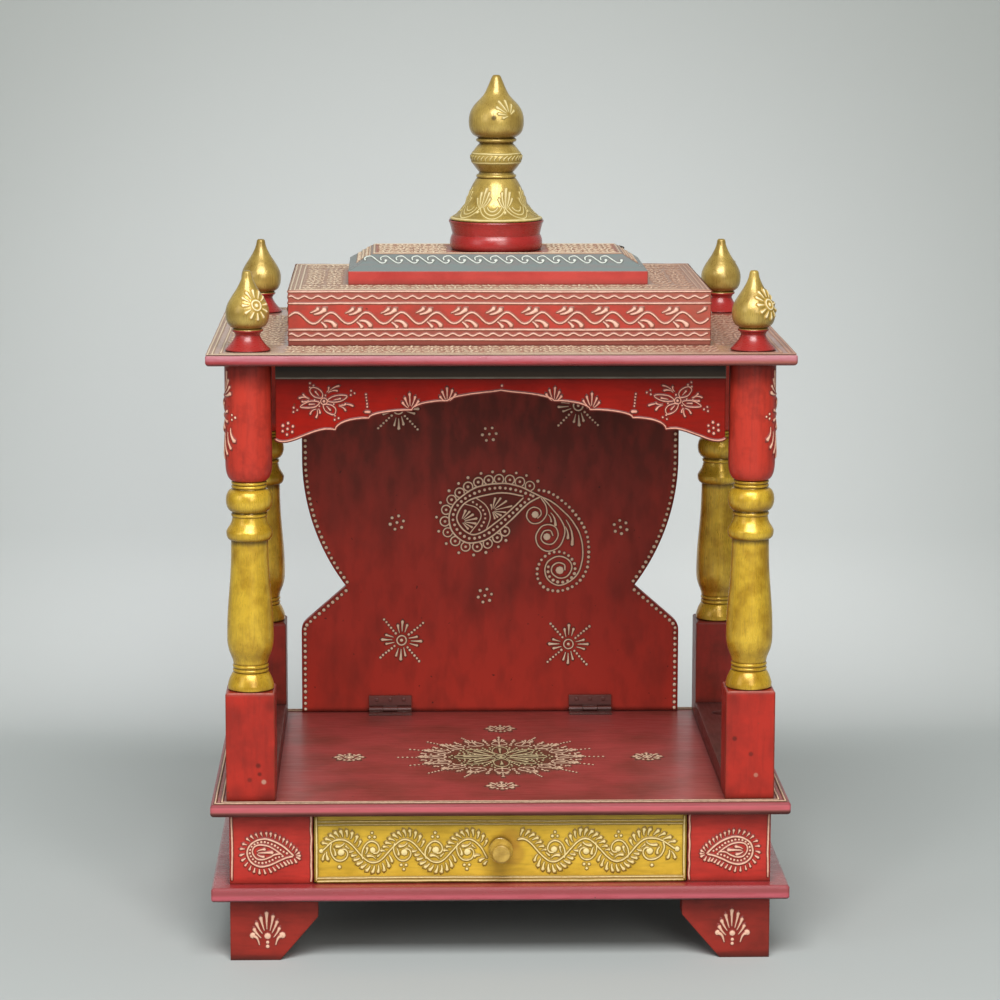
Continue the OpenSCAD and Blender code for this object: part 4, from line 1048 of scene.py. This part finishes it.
def panelTail():
    strokes = []
    for scroll, width, heart, radius in (
            ([(39.0, 170.2), (46.5, 166.6), (54.6, 160.4), (63.4, 151), (69.6, 140), (71.8, 126), (69, 111.4),
              (61.8, 103.4), (53, 100.1), (44.9, 104.5), (42.4, 112.5), (45.1, 119.4), (53.2, 123.1),
              (61.0, 120.0), (63.2, 114.0), (59.6, 107.4), (53.2, 106.0), (47.8, 110.1), (48.2, 115.4),
              (52.6, 118.1), (57.4, 116.5), (58.0, 112.3)], 1.0, (53.8, 112.1), 2.8),
            ([(40.4, 169.4), (49.6, 158.6), (56.0, 149.6), (57.6, 140.6), (53.4, 131.0), (44.8, 127.0),
              (37.6, 131.0), (35.2, 138.0), (38.4, 145.4), (44.4, 148.2), (50.6, 145.8), (52.4, 139.4),
              (48.4, 133.2), (42.6, 133.2), (39.2, 137.4), (41.4, 142.8), (46.4, 143.4), (48.4, 139.4)],
             0.9, (43.8, 138.4), 2.5),
            ([(39.2, 169.0), (43.2, 162.2), (43.2, 155.6), (38.6, 150.0), (32.4, 149.2), (28.4, 153.4),
              (29.0, 158.8), (33.2, 161.8), (38.0, 160.2), (39.2, 156.0), (36.4, 153.2)],
             0.9, (34.6, 156.0), 2.5)):
        strokes += pipe(scroll, width) + dot(*heart, radius)
    strokes += drops([((50.4, 147.4), (46.8, 157.4), 1.1, -0.12), ((47.2, 150.4), (44.8, 156.0), 0.85, -0.1),
                      ((63.6, 132.2), (58.8, 151.6), 1.35, -0.1), ((60.2, 137.2), (57.6, 147.0), 1.1, -0.1)])
    return strokes + beads([
        (37.5, 175.2), (46, 173.2), (57, 165.6), (67, 154.6), (74.4, 141.6), (76.4, 126), (74.8, 112.6),
        (69.4, 103.6), (61.2, 97.8), (52, 95.6), (43.2, 97.6), (37.8, 103.4), (36.2, 111.4), (39.4, 120.0),
        (46.2, 125.6), (54.8, 126.4), (61.6, 122.8), (65.8, 115.4), (64.8, 108.2), (59.9, 103.6), (53.4, 102.6),
        (47.4, 105.2), (44.9, 110.0), (45.0, 114.8)], 4.0, 1.0)


def frontCorners(node, wanted):
    # the corners of a board's front face, as (x, height) in mm
    front = boxMm(node)[0].y
    return {(round(p.x, 1), round(p.z, 1)) for p in cornersMm(node) if abs(p.y - front) < 0.05 and wanted(p)}


def panelEdge(gap, inset):
    # places along the right edge of the panel's front face, from its foot to the middle of its top
    low, high = boxMm("back_panel")
    middle = (low.x + high.x) / 2
    spots = frontCorners("back_panel", lambda p: p.x > middle + 20 and p.z > low.z + 1)
    edge = [Vector(p) for p in sorted(spots, key=lambda p: (p[1], -p[0]))]
    edge = [Vector((edge[0].x, low.z + 2.0))] + edge + [Vector((middle, high.z))]
    return [spot + Vector((-way.y, way.x)) * inset for spot, way in spaced(edge, gap)]


panelLow = boxMm("back_panel")[0]
panelMotifs = panelPaisley() + panelTail()
for x, z in panelLook["sevenDots"]:
    panelMotifs += moved(sevenDots(), x, z, turn=chance.uniform(-20, 20))
for x, z in panelLook["starbursts"]:
    panelMotifs += moved(starburst(), x, z, turn=chance.uniform(-5, 5))
panelMotifs = [(line, [width * panelLook["boldness"] for width in widths])
               for line, widths in moved(panelMotifs, 0, floorMm)]
for spot in panelEdge(panelLook["beadGap"], panelLook["beadInset"]):
    panelMotifs += dot(spot.x, spot.y, panelLook["beadRadius"]) + dot(-spot.x, spot.y, panelLook["beadRadius"])
pipeRelief("panelPaisley", "panel", [(panelMotifs, frontFace(0, panelLow.y, 0))], paste["panel"],
           dict(pasteLook, skirt=panelLook["skirt"]))


# the valance: a cream line along the scallops, flowers and hands of drops
def valanceFlower():
    # one four-petalled flower; long petals along u, short ones across
    strokes = []
    for petal, head, tail in (
            ([(2.6, 0.4), (5.6, 3.2), (11.0, 4.2), (16.2, 3.6), (12.8, 0.6), (7.2, -0.6)],
             (11.6, 2.0), (6.6, 1.0)),
            ([(-3.2, -0.8), (-7.6, 0.2), (-12.2, -0.8), (-16.4, -3.8), (-11.2, -4.6), (-6.0, -3.8)],
             (-10.2, -2.0), (-6.2, -1.8)),
            ([(-2.0, 2.2), (-7.0, 3.4), (-9.6, 7.4), (-7.8, 9.8), (-3.6, 8.6), (-1.0, 5.4)],
             (-5.8, 7.0), (-3.4, 3.8)),
            ([(-0.2, -2.0), (0.4, -5.8), (3.2, -8.4), (7.0, -9.4), (8.2, -5.8), (5.4, -2.8)],
             (4.4, -6.2), (1.8, -3.4))):
        strokes += pipe(petal, 0.72, closed=True) + drop(head, tail, 0.75)
    strokes += ring(0, 0, 2.3, 0.75) + dot(0, 0, 1.0)
    for root, heads in (((-9.0, 1.4), ((-17.0, 2.4), (-14.2, 5.0), (-15.2, 0.0))),
                        ((1.6, 5.6), ((3.6, 10.0), (10.4, 10.8), (9.4, 7.4))),
                        ((9.4, -2.6), ((15.2, -1.6), (20.0, -3.2), (15.0, -6.2))),
                        ((-4.4, -4.6), ((-9.4, -8.8), (-5.4, -11.2), (-2.8, -8.2)))):
        root = Vector(root)
        for head, bend in zip(heads, (0.16, -0.1, -0.14)):
            strokes += drop(head, root + (Vector(head) - root) * 0.18, 0.8, bend)
        strokes += dot(*(root * 0.72), 0.55)
    for x, y in ((-8.8, 11.2), (19.6, 5.8), (-20.2, -6.0), (8.4, -11.6)):
        strokes += moved(threeDots(1.7, 0.62), x, y, turn=25)
    return strokes


def valanceStrokes():
    half = moved(valanceFlower(), -122.6, -27.2) + moved(sevenDots(3.9, 0.9), -147.8, -46.4)
    half += beads([(-93.5, -22.4), (-92.6, -31.0)], 2.3, 0.6)
    half += [([Vector((-94.2, -34.7)), Vector((-90.8, -34.7))], [2.2, 2.2])]
    half += fan((-62.8, -33.4), (7.6, 9.4, 11.6, 10.0, 8.6), 92, 86, 1.0, 0.26, 0.06)
    half += fan((-37.0, -28.6), (7.0, 9.0, 10.8, 9.8, 8.6), 92, 88, 1.0, 0.28, 0.06)
    return bothWays(half) + dot(0.6, -16.4, 0.8)


valanceLow, valanceHigh = boxMm("valance")
scallopLine = [Vector(p) + Vector((0, 0.7))     # 0.7 mm up from the valance's lower edge
               for p in sorted(frontCorners("valance", lambda p: p.z < valanceHigh.z - 2))]
valanceMotifs = moved(valanceStrokes(), 0, undersideLevel) + [(scallopLine, [0.9] * len(scallopLine))]
pipeRelief("valanceFlowers", "temple", [(valanceMotifs, frontFace(0, valanceLow.y, 0))], paste["valance"])
print("stage 4: drawer, stiles, feet, panel and valance decorated")


# the red drums of the pillars: a hand of drops, a small flower and a second hand below it
def drumSpray():
    strokes, flower = [], Vector((0, -36.8))
    for side in (-1, 1):
        strokes += drops([((side * x, y), (side * tailX, tailY), radius, side * 0.1)
                          for x, y, tailX, tailY, radius in (
            (9.0, -5.4, 4.6, -19.0, 1.0), (11.0, -11.0, 5.0, -20.0, 1.05), (12.4, -15.6, 5.6, -21.0, 1.05),
            (13.0, -20.4, 6.4, -22.4, 1.5), (16.2, -53.4, 12.6, -44.6, 1.6), (13.0, -58.8, 9.4, -47.6, 1.3),
            (9.0, -63.2, 6.0, -48.6, 1.2), (4.7, -66.6, 3.0, -48.2, 1.1))], 5)
        strokes += moved(threeDots(1.9, 0.8), side * 14.9, -37.0, turn=-90 * side)
        for angle in (65, 22, -20, -58):
            way = Vector((math.cos(math.radians(angle)) * side, math.sin(math.radians(angle))))
            strokes += drop(flower + way * 10.2, flower + way * 4.2, 1.25)
    strokes += drops([((0, -26.4), (0, -33.0), 1.25), ((0, -47.6), (0, -41.0), 1.2)])
    return strokes + dot(*flower, 1.6) + dot(0, -22.8, 0.9)


corners = ("front_left", "front_right", "back_left", "back_right")
for corner in corners:
    node = "pillar_" + corner
    drumFace = turnedFace(node, 180 if "left" in corner else 0, undersideLevel)
    pipeRelief("drumSpray_" + node, "temple", [(drumSpray(), drumFace)], paste["red"])


# sunbursts on the bulbs of the corner finials
finialLook = {
    "headings": (-60, -43, 100, 62),    # degrees, in the order of the corners
    "burstHeight": 32.4,                # mm above the finial's foot
}
for corner, heading in zip(corners, finialLook["headings"]):
    node = "finial_" + corner
    burstFace = turnedFace(node, heading, boxMm(node)[0].z + finialLook["burstHeight"])
    pipeRelief("sunburst_" + node, "temple", [(sunburst(), burstFace)], paste["gold"])


# the spire: swags and sprays round the bell, beads on the ring, a hand of leaves on the bulb
spireLook = {
    "swags": 8,
    "swagRadius": 24,           # mm, of the bell where they hang
    "firstHeading": -98.0,      # degrees, of a swag's middle
    "rimLine": 1.6,             # mm above the spire's foot
    "ringAt": 0.430,            # heights as shares of the spire
    "ringLines": (-3.1, 3.3),   # mm from there
    "ticks": 34,
    "bulbAt": 0.715,
    "bulbHeading": -62,
    "lineHeight": 0.5,
}


def swagAndSpray(halfGap):
    strokes = []
    for reach in (3.2, 5.6, 8.0):
        arc = [(reach * 1.15 * math.cos(math.radians(a)), 10.8 + reach * math.sin(math.radians(a)))
               for a in range(186, 355, 14)]
        strokes += pipe(arc, 0.62, 2)
    strokes += drops([((halfGap + lean, head), (halfGap + lean * 0.15, 9.6), radius, lean * 0.02)
                      for lean, head, radius in ((0, 23.5, 0.95), (-3.0, 20.6, 0.85), (3.0, 20.6, 0.85),
                                                 (-5.0, 16.4, 0.75), (5.0, 16.4, 0.75))])
    return strokes + dot(halfGap, 7.0, 0.8)


def roundLine(reach, height, width, sides=60):
    return [([Vector((math.tau * reach * k / sides, height)) for k in range(sides + 1)], [width] * (sides + 1))]


def spireRelief(look):
    low, high = boxMm("spire")
    tall = high.z - low.z
    swag = swagAndSpray(math.pi * look["swagRadius"] / look["swags"])
    parts = [(swag, turnedFace("spire", look["firstHeading"] + 360 * k / look["swags"], low.z))
             for k in range(look["swags"])]
    parts.append((roundLine((high.x - low.x) / 2, look["rimLine"], 0.9), turnedFace("spire", 0, low.z)))
    ringFace = turnedFace("spire", 0, low.z + look["ringAt"] * tall)
    ringReach = (ringFace(0, 0, 0) / mm).x
    parts += [(roundLine(ringReach, height, 0.8), ringFace) for height in look["ringLines"]]
    ticks = []      # slanting, between the two lines
    for k in range(look["ticks"]):
        u = math.tau * ringReach * k / look["ticks"]
        ticks += drop((u + 1.0, 1.5), (u - 1.0, -1.5), 0.8, steps=2)
    leaves = fan((0, 1.5), (5.5, 8.0, 10.0, 11.0, 10.0, 8.0, 5.5), 118, 165, 0.95, 0.28)
    return parts + [(ticks, ringFace),
                    (leaves, turnedFace("spire", look["bulbHeading"], low.z + look["bulbAt"] * tall))]


pipeRelief("spireSwags", "temple", spireRelief(spireLook), paste["spire"],
           dict(pasteLook, height=spireLook["lineHeight"]))
print("stage 5: drums, finials and spire decorated")
# the upright faces of the roof box: zigzags, and a vine with pairs of leaves
tierLook = {
    "lines": (0.7, 8.9, 27.4, 34.5),        # mm down from the top edge
    "zigzags": ((4.6, 0.95, 9.4), (30.9, 0.95, 9.4)),     # level, swing and length of one wave
    "vine": (19.2, 4.0, 24.6),
    "firstTrough": -7.2,         # mm right of the middle, where the vine runs lowest
}


def tierLine(halfLength, wave, trough, width, steps):
    level, swing, length = wave
    line = []
    u = -halfLength + 0.6
    while u < halfLength - 0.6:
        line.append(Vector((u, -level - swing * math.cos(math.tau * (u - trough) / length))))
        u += length / steps
    return [(line, [width] * len(line))]


def tierBand(halfLength, look):
    strokes = []
    for level in look["lines"]:
        strokes += pipe([(-halfLength + 0.4, -level), (-halfLength / 3, -level + 0.25),
                         (halfLength / 3, -level - 0.2), (halfLength - 0.4, -level)], 0.9, 14)
    for wave in look["zigzags"]:
        strokes += tierLine(halfLength, wave, 0, 0.85, 6)
    level, swing, length = look["vine"]
    strokes += tierLine(halfLength, look["vine"], look["firstTrough"], 1.0, 12)
    u = look["firstTrough"] - math.ceil((halfLength + look["firstTrough"]) / length) * length
    while u < halfLength:       # two leaves over each trough of the vine and two under each crest
        crest = u + length / 2
        for middle, headU, headV, tailU, tailV, radius, bend in (
                (u, 3.2, 6.6, -2.2, 3.6, 1.45, 0.05), (u, 8.0, 6.0, 0.4, 2.6, 1.85, 0.1),
                (crest, -3.2, -6.2, -6.8, -2.8, 1.35, -0.05), (crest, 2.9, -5.4, -5.0, -2.0, 1.8, -0.17)):
            head, tail = (middle + headU, headV - level), (middle + tailU, tailV - level)
            if abs(head[0]) < halfLength - 2 and abs(tail[0]) < halfLength - 2:
                strokes += drop(head, tail, radius, bend, 6)
        u += length
    return strokes


tierLow, tierHigh = boxMm("roof_box")
tierParts = [(tierBand(halfLength, tierLook), flatFace((x, y, tierHigh.z), across, (0, 0, 1)))
             for halfLength, x, y, across in (
                 (tierHigh.x, 0, tierLow.y, (1, 0, 0)), (tierHigh.x, 0, tierHigh.y, (-1, 0, 0)),
                 (tierHigh.y, tierHigh.x, 0, (0, 1, 0)), (tierHigh.y, tierLow.x, 0, (0, -1, 0)))]
pipeRelief("roofBoxVine", "temple", tierParts, paste["roof box"])

# the level tops of the roof: cream border lines and a close carpet of small flowers; all in mm
roofLook = {"borders": (1.5, 4.5, 10.2), "inset": 12.0, "flowerGap": 13.5}
tierTopLook = {"borders": (1.5, 4.5, 8.0), "inset": 9, "flowerGap": 12.5}
carpetLook = {
    "clear": 3,             # left free beside the next step
    "finialClear": 4,       # and round a finial's foot
    "astray": 0.7,          # how far a flower may stand from its place
    "flower": 0.40,         # its reach, as a share of the gap
    "lineHeight": 0.42,     # the roof was wiped back, so its flowers stand low
}


def borderLine(halfX, halfY, inset, width=1.1, steps=24):
    x, y = halfX - inset, halfY - inset
    turns = [Vector(p) for p in ((-x, -y), (x, -y), (x, y), (-x, y), (-x, -y))]
    return [([a.lerp(b, k / steps) for k in range(steps + 1)], [width] * (steps + 1))
            for a, b in zip(turns, turns[1:])]


def smallFlower(reach, petals=6):
    strokes = dot(0, 0, 1.0)
    for k in range(petals):
        strokes += moved(drop((reach, 0), (reach * 0.36, 0), 1.15, steps=2), turn=360 * k / petals)
    return strokes


def flowerCarpet(x0, x1, y0, y1, gap, clear=(), look=carpetLook):
    # flowers on a grid with beads between; clear are boxes (x, y, half width, half depth) left free
    strokes = []
    astray = look["astray"]
    acrossCount, deepCount = max(1, round((x1 - x0) / gap)), max(1, round((y1 - y0) / gap))
    for i in range(acrossCount):
        for j in range(deepCount):
            x = x0 + (i + 0.5) * (x1 - x0) / acrossCount + chance.uniform(-astray, astray)
            y = y0 + (j + 0.5) * (y1 - y0) / deepCount + chance.uniform(-astray, astray)
            if any(abs(x - cx) < w and abs(y - cy) < d for cx, cy, w, d in clear):
                continue
            strokes += moved(smallFlower(gap * look["flower"]), x, y, turn=chance.uniform(0, 60))
            if i < acrossCount - 1 and j < deepCount - 1:
                strokes += dot(x + gap / 2, y + gap / 2, 0.9)
    return strokes


def carpetRound(step, nextStep, look, clear=()):
    # border lines on a step of the roof, and the carpet in four strips round the step that stands on it
    x, y = step.x - look["inset"], step.y - look["inset"]
    a, b = nextStep.x + carpetLook["clear"], nextStep.y + carpetLook["clear"]
    strokes = [stroke for inset in look["borders"] for stroke in borderLine(step.x, step.y, inset)]
    for strip in ((-x, x, -y, -b), (-x, x, b, y), (-x, -a, -nextStep.y, nextStep.y),
                  (a, x, -nextStep.y, nextStep.y)):
        strokes += flowerCarpet(*strip, look["flowerGap"], clear)
    return strokes


roofHigh = boxMm("roof_board")[1]
capLow, capHigh = boxMm("roof_cap")
finialFeet = []
for corner in corners:
    low, high = boxMm("finial_" + corner)
    middle, half, clear = (low + high) / 2, (high - low) / 2, carpetLook["finialClear"]
    finialFeet.append((middle.x, middle.y, half.x + clear, half.y + clear))
roofTop = carpetRound(roofHigh, tierHigh, roofLook, finialFeet)
tierTop = carpetRound(tierHigh, capHigh, tierTopLook)
flatPaste = dict(pasteLook, height=carpetLook["lineHeight"])
pipeRelief("roofCarpet", "temple", [(roofTop, topFace(roofHigh.z))], paste["roof top"], flatPaste)
pipeRelief("tierCarpet", "temple", [(tierTop, topFace(tierHigh.z))], paste["roof top"], flatPaste)

# the cap: running waves on the long bevels, leaves on the short ones, flowers on top; all in mm
capLook = {
    "edgeHeight": 9.4, "slopeWidth": 17.0,
    "wave": 11.2, "leafGap": 11.0, "flowerGap": 12.5,
    "footClear": 36,        # half of the square left free for the spire's foot
}


def runningWave(halfLength, pitch):
    strokes = []
    u = -halfLength - 5
    while u < halfLength - 9:
        strokes += pipe([(u, -7.3), (u - 0.3, -4.9), (u + 1.7, -3.1), (u + 4.5, -3.1), (u + 8.5, -7.8),
                         (u + 11.2, -10.5), (u + 13.6, -10.5), (u + 15.0, -8.4)], 1.0)
        strokes += dot(u + 14.6, -7.6, 1.15)
        u += pitch
    return strokes


def leafRow(halfLength, pitch):
    strokes = []
    u = -halfLength + 6
    while u < halfLength - 5:
        strokes += moved(smallFlower(4.6), u, -8.0)
        strokes += dot(u + 5.5, -4.4, 0.8) + dot(u + 5.5, -12.6, 0.8)
        u += pitch
    return strokes + pipe([(-halfLength + 2, -2.0), (0, -2.1), (halfLength - 2, -2.0)], 0.9, 12)


def slopeFace(x, y, across, run):
    # a bevel of the cap, hung from its upper edge
    rise = capHigh.z - capLow.z - capLook["edgeHeight"]
    return flatFace((x, y, capHigh.z), across, (*run, rise))


run = capLook["slopeWidth"]
topX, topY = capHigh.x - run, capHigh.y - run
waves, leaves = runningWave(topX, capLook["wave"]), leafRow(topY, capLook["leafGap"])
pipeRelief("capWaves", "temple", [(waves, slopeFace(0, -topY, (1, 0, 0), (0, run))),
                                  (waves, slopeFace(0, topY, (-1, 0, 0), (0, -run)))], paste["cap"])
capTop = borderLine(topX, topY, 1.2) + flowerCarpet(
    -topX + 4, topX - 4, -topY + 4, topY - 4, capLook["flowerGap"],
    [(0, 0, capLook["footClear"], capLook["footClear"])])
pipeRelief("capFlowers", "temple", [(leaves, slopeFace(topX, 0, (0, 1, 0), (-run, 0))),
                                    (leaves, slopeFace(-topX, 0, (0, -1, 0), (run, 0))),
                                    (capTop, topFace(capHigh.z))], paste["roof top"])
print("stage 6: roof decorated")
# the tray: cream lines round its edge and a round lotus in the middle
trayLook = {
    "middle": (3.8, -12.0), "petals": 8, "stretch": (1.16, 1.06),
    "rosettes": ((6.0, 79.5), (2.0, -101.0), (-108.0, -12.0), (112.0, -14.0)),
    "lines": ((3.2, 1.3), (7.7, 1.2)),      # insets and widths
}


def petalOutline(inner, outer, width):
    middle = (inner + outer) / 2
    return pipe([(inner, 0), (middle - 3, width / 2), (outer - 3, width * 0.36), (outer, 0),
                 (outer - 3, -width * 0.36), (middle - 3, -width / 2)], 0.95, 4, closed=True)


def lotusHeart(petals):
    strokes = ring(0, 0, 3.2) + dot(0, 0, 1.3)
    for k in range(petals):
        turn = 90 + 360 * k / petals
        strokes += moved(petalOutline(5.6, 29.5, 9.8) + drop((23.5, 0), (11.0, 0), 1.5), turn=turn)
        strokes += moved(dot(32.6, 0, 1.1) + dot(31.0, -4.6, 0.9) + dot(31.0, 4.6, 0.9), turn=turn)
        seeds = [stroke for step in range(5) for stroke in dot(14.0 + 3.6 * step, 0, 0.95)]
        seeds += dot(23.6, 3.2, 0.85) + dot(23.6, -3.2, 0.85) + dot(27.4, 4.4, 0.85) + dot(27.4, -4.4, 0.85)
        strokes += moved(seeds, turn=turn + 180 / petals)
    return strokes


def lotusRim(petals):
    strokes = []
    for k in range(2 * petals):
        turn = 90 + 180 * k / petals
        arch = petalOutline(34.5, 47.0, 9.6) + drop((43.4, 0), (37.4, 0), 1.3)
        strokes += moved(arch + fan((44, 0), (5.4, 7.6, 8.6, 7.6, 5.4), 0, 78, 1.25, 0.42), turn=turn)
        strokes += moved(dot(40.4, 0, 1.0) + dot(45.2, 0, 1.1) + drop((51.5, 0), (48.0, 0), 1.2),
                         turn=turn + 90 / petals)
        for beadAt, aside in ((35.6, 0), (48.6, 12), (36.4, 12)):
            for way in (1, -1):
                strokes += moved(dot(beadAt, 0, 0.85), turn=turn + way * aside)
        if k % petals == 0:         # a drop points to the front and to the back, rows of beads every other way
            strokes += moved(drop((59.0, 0), (53.0, 0), 1.5), turn=turn)
        else:
            for step in range(5 if k % 2 == 0 else 4):
                strokes += moved(dot(53.6 + 2.9 * step, 0, 0.9), turn=turn)
    return strokes


def stretched(strokes, across, deep):
    return [([Vector((p.x * across, p.y * deep)) for p in line], widths) for line, widths in strokes]


def trayRosette():
    strokes = ring(0, 0, 3.2, 1.3) + dot(0, 0, 1.5)
    for k in range(8):
        strokes += moved(drop((10.4, 0), (5.4, 0), 1.9), turn=45 * k)
        strokes += moved(dot(8.6, 0, 1.1), turn=45 * k + 22)
    return strokes


trayHigh = boxMm("tray_board")[1]
trayFace = topFace(trayHigh.z)
heart, trayStrokes = [moved(stretched(part(trayLook["petals"]), *trayLook["stretch"]), *trayLook["middle"])
                      for part in (lotusHeart, lotusRim)]
for x, y in trayLook["rosettes"]:
    trayStrokes += moved(trayRosette(), x, y)
for inset, width in trayLook["lines"]:
    trayStrokes += borderLine(trayHigh.x, trayHigh.y, inset, width)
pipeRelief("trayLotusHeart", "temple", [(heart, trayFace)], paste["tray heart"])
pipeRelief("trayLotus", "temple", [(trayStrokes, trayFace)], paste["tray"])
print("stage 7: tray decorated")


# the turned pieces: the CAD outline, spun with more sides and smooth shading, so that the wash can follow it
turnLook = {
    "sides": 80,
    "stepMm": 1.6,          # longest step along the outline
    "feltMm": 5.0,          # a groove is where the radius is less than the mean within this height,
    "deepMm": 2.0,          # and full of wash where it is this much less
    "sharp": 38,            # degrees; steeper edges stay crisp
    "drumHeight": 82.5,     # mm, the red drum at a pillar's top
    "drumOverlap": 0.3,
    "finialNeck": 14.6,     # mm, the red foot of a finial
}


def turnPiece(name, node, layers, look=turnLook):
    # layers are (lowest height in mm, material) from the foot up
    outline, (cx, cy) = outlineOf(node)
    sides = look["sides"]
    fine = [outline[0]]
    for (z0, r0), (z1, r1) in zip(outline, outline[1:]):
        cuts = max(1, int(math.hypot(z1 - z0, r1 - r0) / look["stepMm"]))
        fine += [(z0 + (z1 - z0) * k / cuts, r0 + (r1 - r0) * k / cuts) for k in range(1, cuts + 1)]
    verts, faces, grooves = [], [], []
    for z, r in fine:
        around = [radius for level, radius in fine if abs(level - z) < look["feltMm"]]
        groove = min(1.0, max(0.0, (sum(around) / len(around) - r) / look["deepMm"]))
        for k in range(sides):
            angle = math.tau * k / sides
            verts.append(Vector((cx + r * math.cos(angle), cy + r * math.sin(angle), z)) * mm)
            grooves.append(groove)
    for i in range(len(fine) - 1):
        for k in range(sides):
            a, b = i * sides + k, i * sides + (k + 1) % sides
            faces.append((a, b, b + sides, a + sides))
    faces.append(tuple(reversed(range(sides))))
    faces.append(tuple(range((len(fine) - 1) * sides, len(fine) * sides)))
    piece = newPiece(name, verts, faces)
    piece.data.set_sharp_from_angle(angle=math.radians(look["sharp"]))
    addPointValues(piece, "groove", grooves)
    for height, material in layers:
        piece.data.materials.append(material)
    for face in piece.data.polygons:
        z = sum(verts[i].z for i in face.vertices) / len(face.vertices) / mm
        face.material_index = max(i for i, (height, material) in enumerate(layers) if z >= height or i == 0)
    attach(piece, "temple")
    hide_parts(node)


drumFoot = undersideLevel - turnLook["drumHeight"] - turnLook["drumOverlap"]
for corner in corners:
    turnPiece("turnedPillar_" + corner, "pillar_" + corner, [(0, goldPillar), (drumFoot, drumEnamel)])
    turnPiece("turnedFinial_" + corner, "finial_" + corner,
              [(0, spireFootEnamel), (roofHigh.z + turnLook["finialNeck"], goldFinial)])
turnPiece("turnedSpire", "spire", [(0, goldFinial)])
print("stage 8: pillars, finials and spire turned")


# countersunk screws in the hinge leaves; all in mm
hingeLook = {
    "spacing": 156,             # from hinge to hinge
    "screwsAt": (-10.5, 0, 10.5),
    "inset": 3.0,               # from the leaf's free edge
    "leaf": 1.2,                # thickness
    "head": ((1.55, 0.0), (1.45, 0.22), (0.9, 0.3), (0.0, 0.32)),      # radius and height, from the rim in
    "sides": 14,
}


def screwHeads(name, body, look, places, normal):
    side = normal.orthogonal().normalized()
    other = normal.cross(side)
    verts, faces, sides = [], [], look["sides"]
    for place in places:
        first = len(verts)
        for reach, h in look["head"]:
            for k in range(sides):
                angle = math.tau * k / sides
                out = side * math.cos(angle) + other * math.sin(angle)
                verts.append((place + out * reach + normal * h) * mm)
        for level in range(len(look["head"]) - 1):
            for k in range(sides):
                a, b = first + sides * level + k, first + sides * level + (k + 1) % sides
                faces.append((a, b, b + sides, a + sides))
    screws = newPiece(name, verts, faces)
    dress(screws, hingeEnamel)
    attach(screws, body)


across = [side * hingeLook["spacing"] / 2 + step for side in (-1, 1) for step in hingeLook["screwsAt"]]
trayLeafBack, panelLeafTop = boxMm("hinge_tray_leaves")[0].y, boxMm("hinge_panel_leaves")[1].z
screwHeads("trayHingeScrews", "temple", hingeLook, [
    Vector((x, trayLeafBack + hingeLook["inset"], trayHigh.z + hingeLook["leaf"])) for x in across],
    Vector((0, 0, 1)))
screwHeads("panelHingeScrews", "panel", hingeLook, [
    Vector((x, panelLow.y - hingeLook["leaf"], panelLeafTop - hingeLook["inset"])) for x in across],
    Vector((0, -1, 0)))
print("stage 9: hinge screws set")
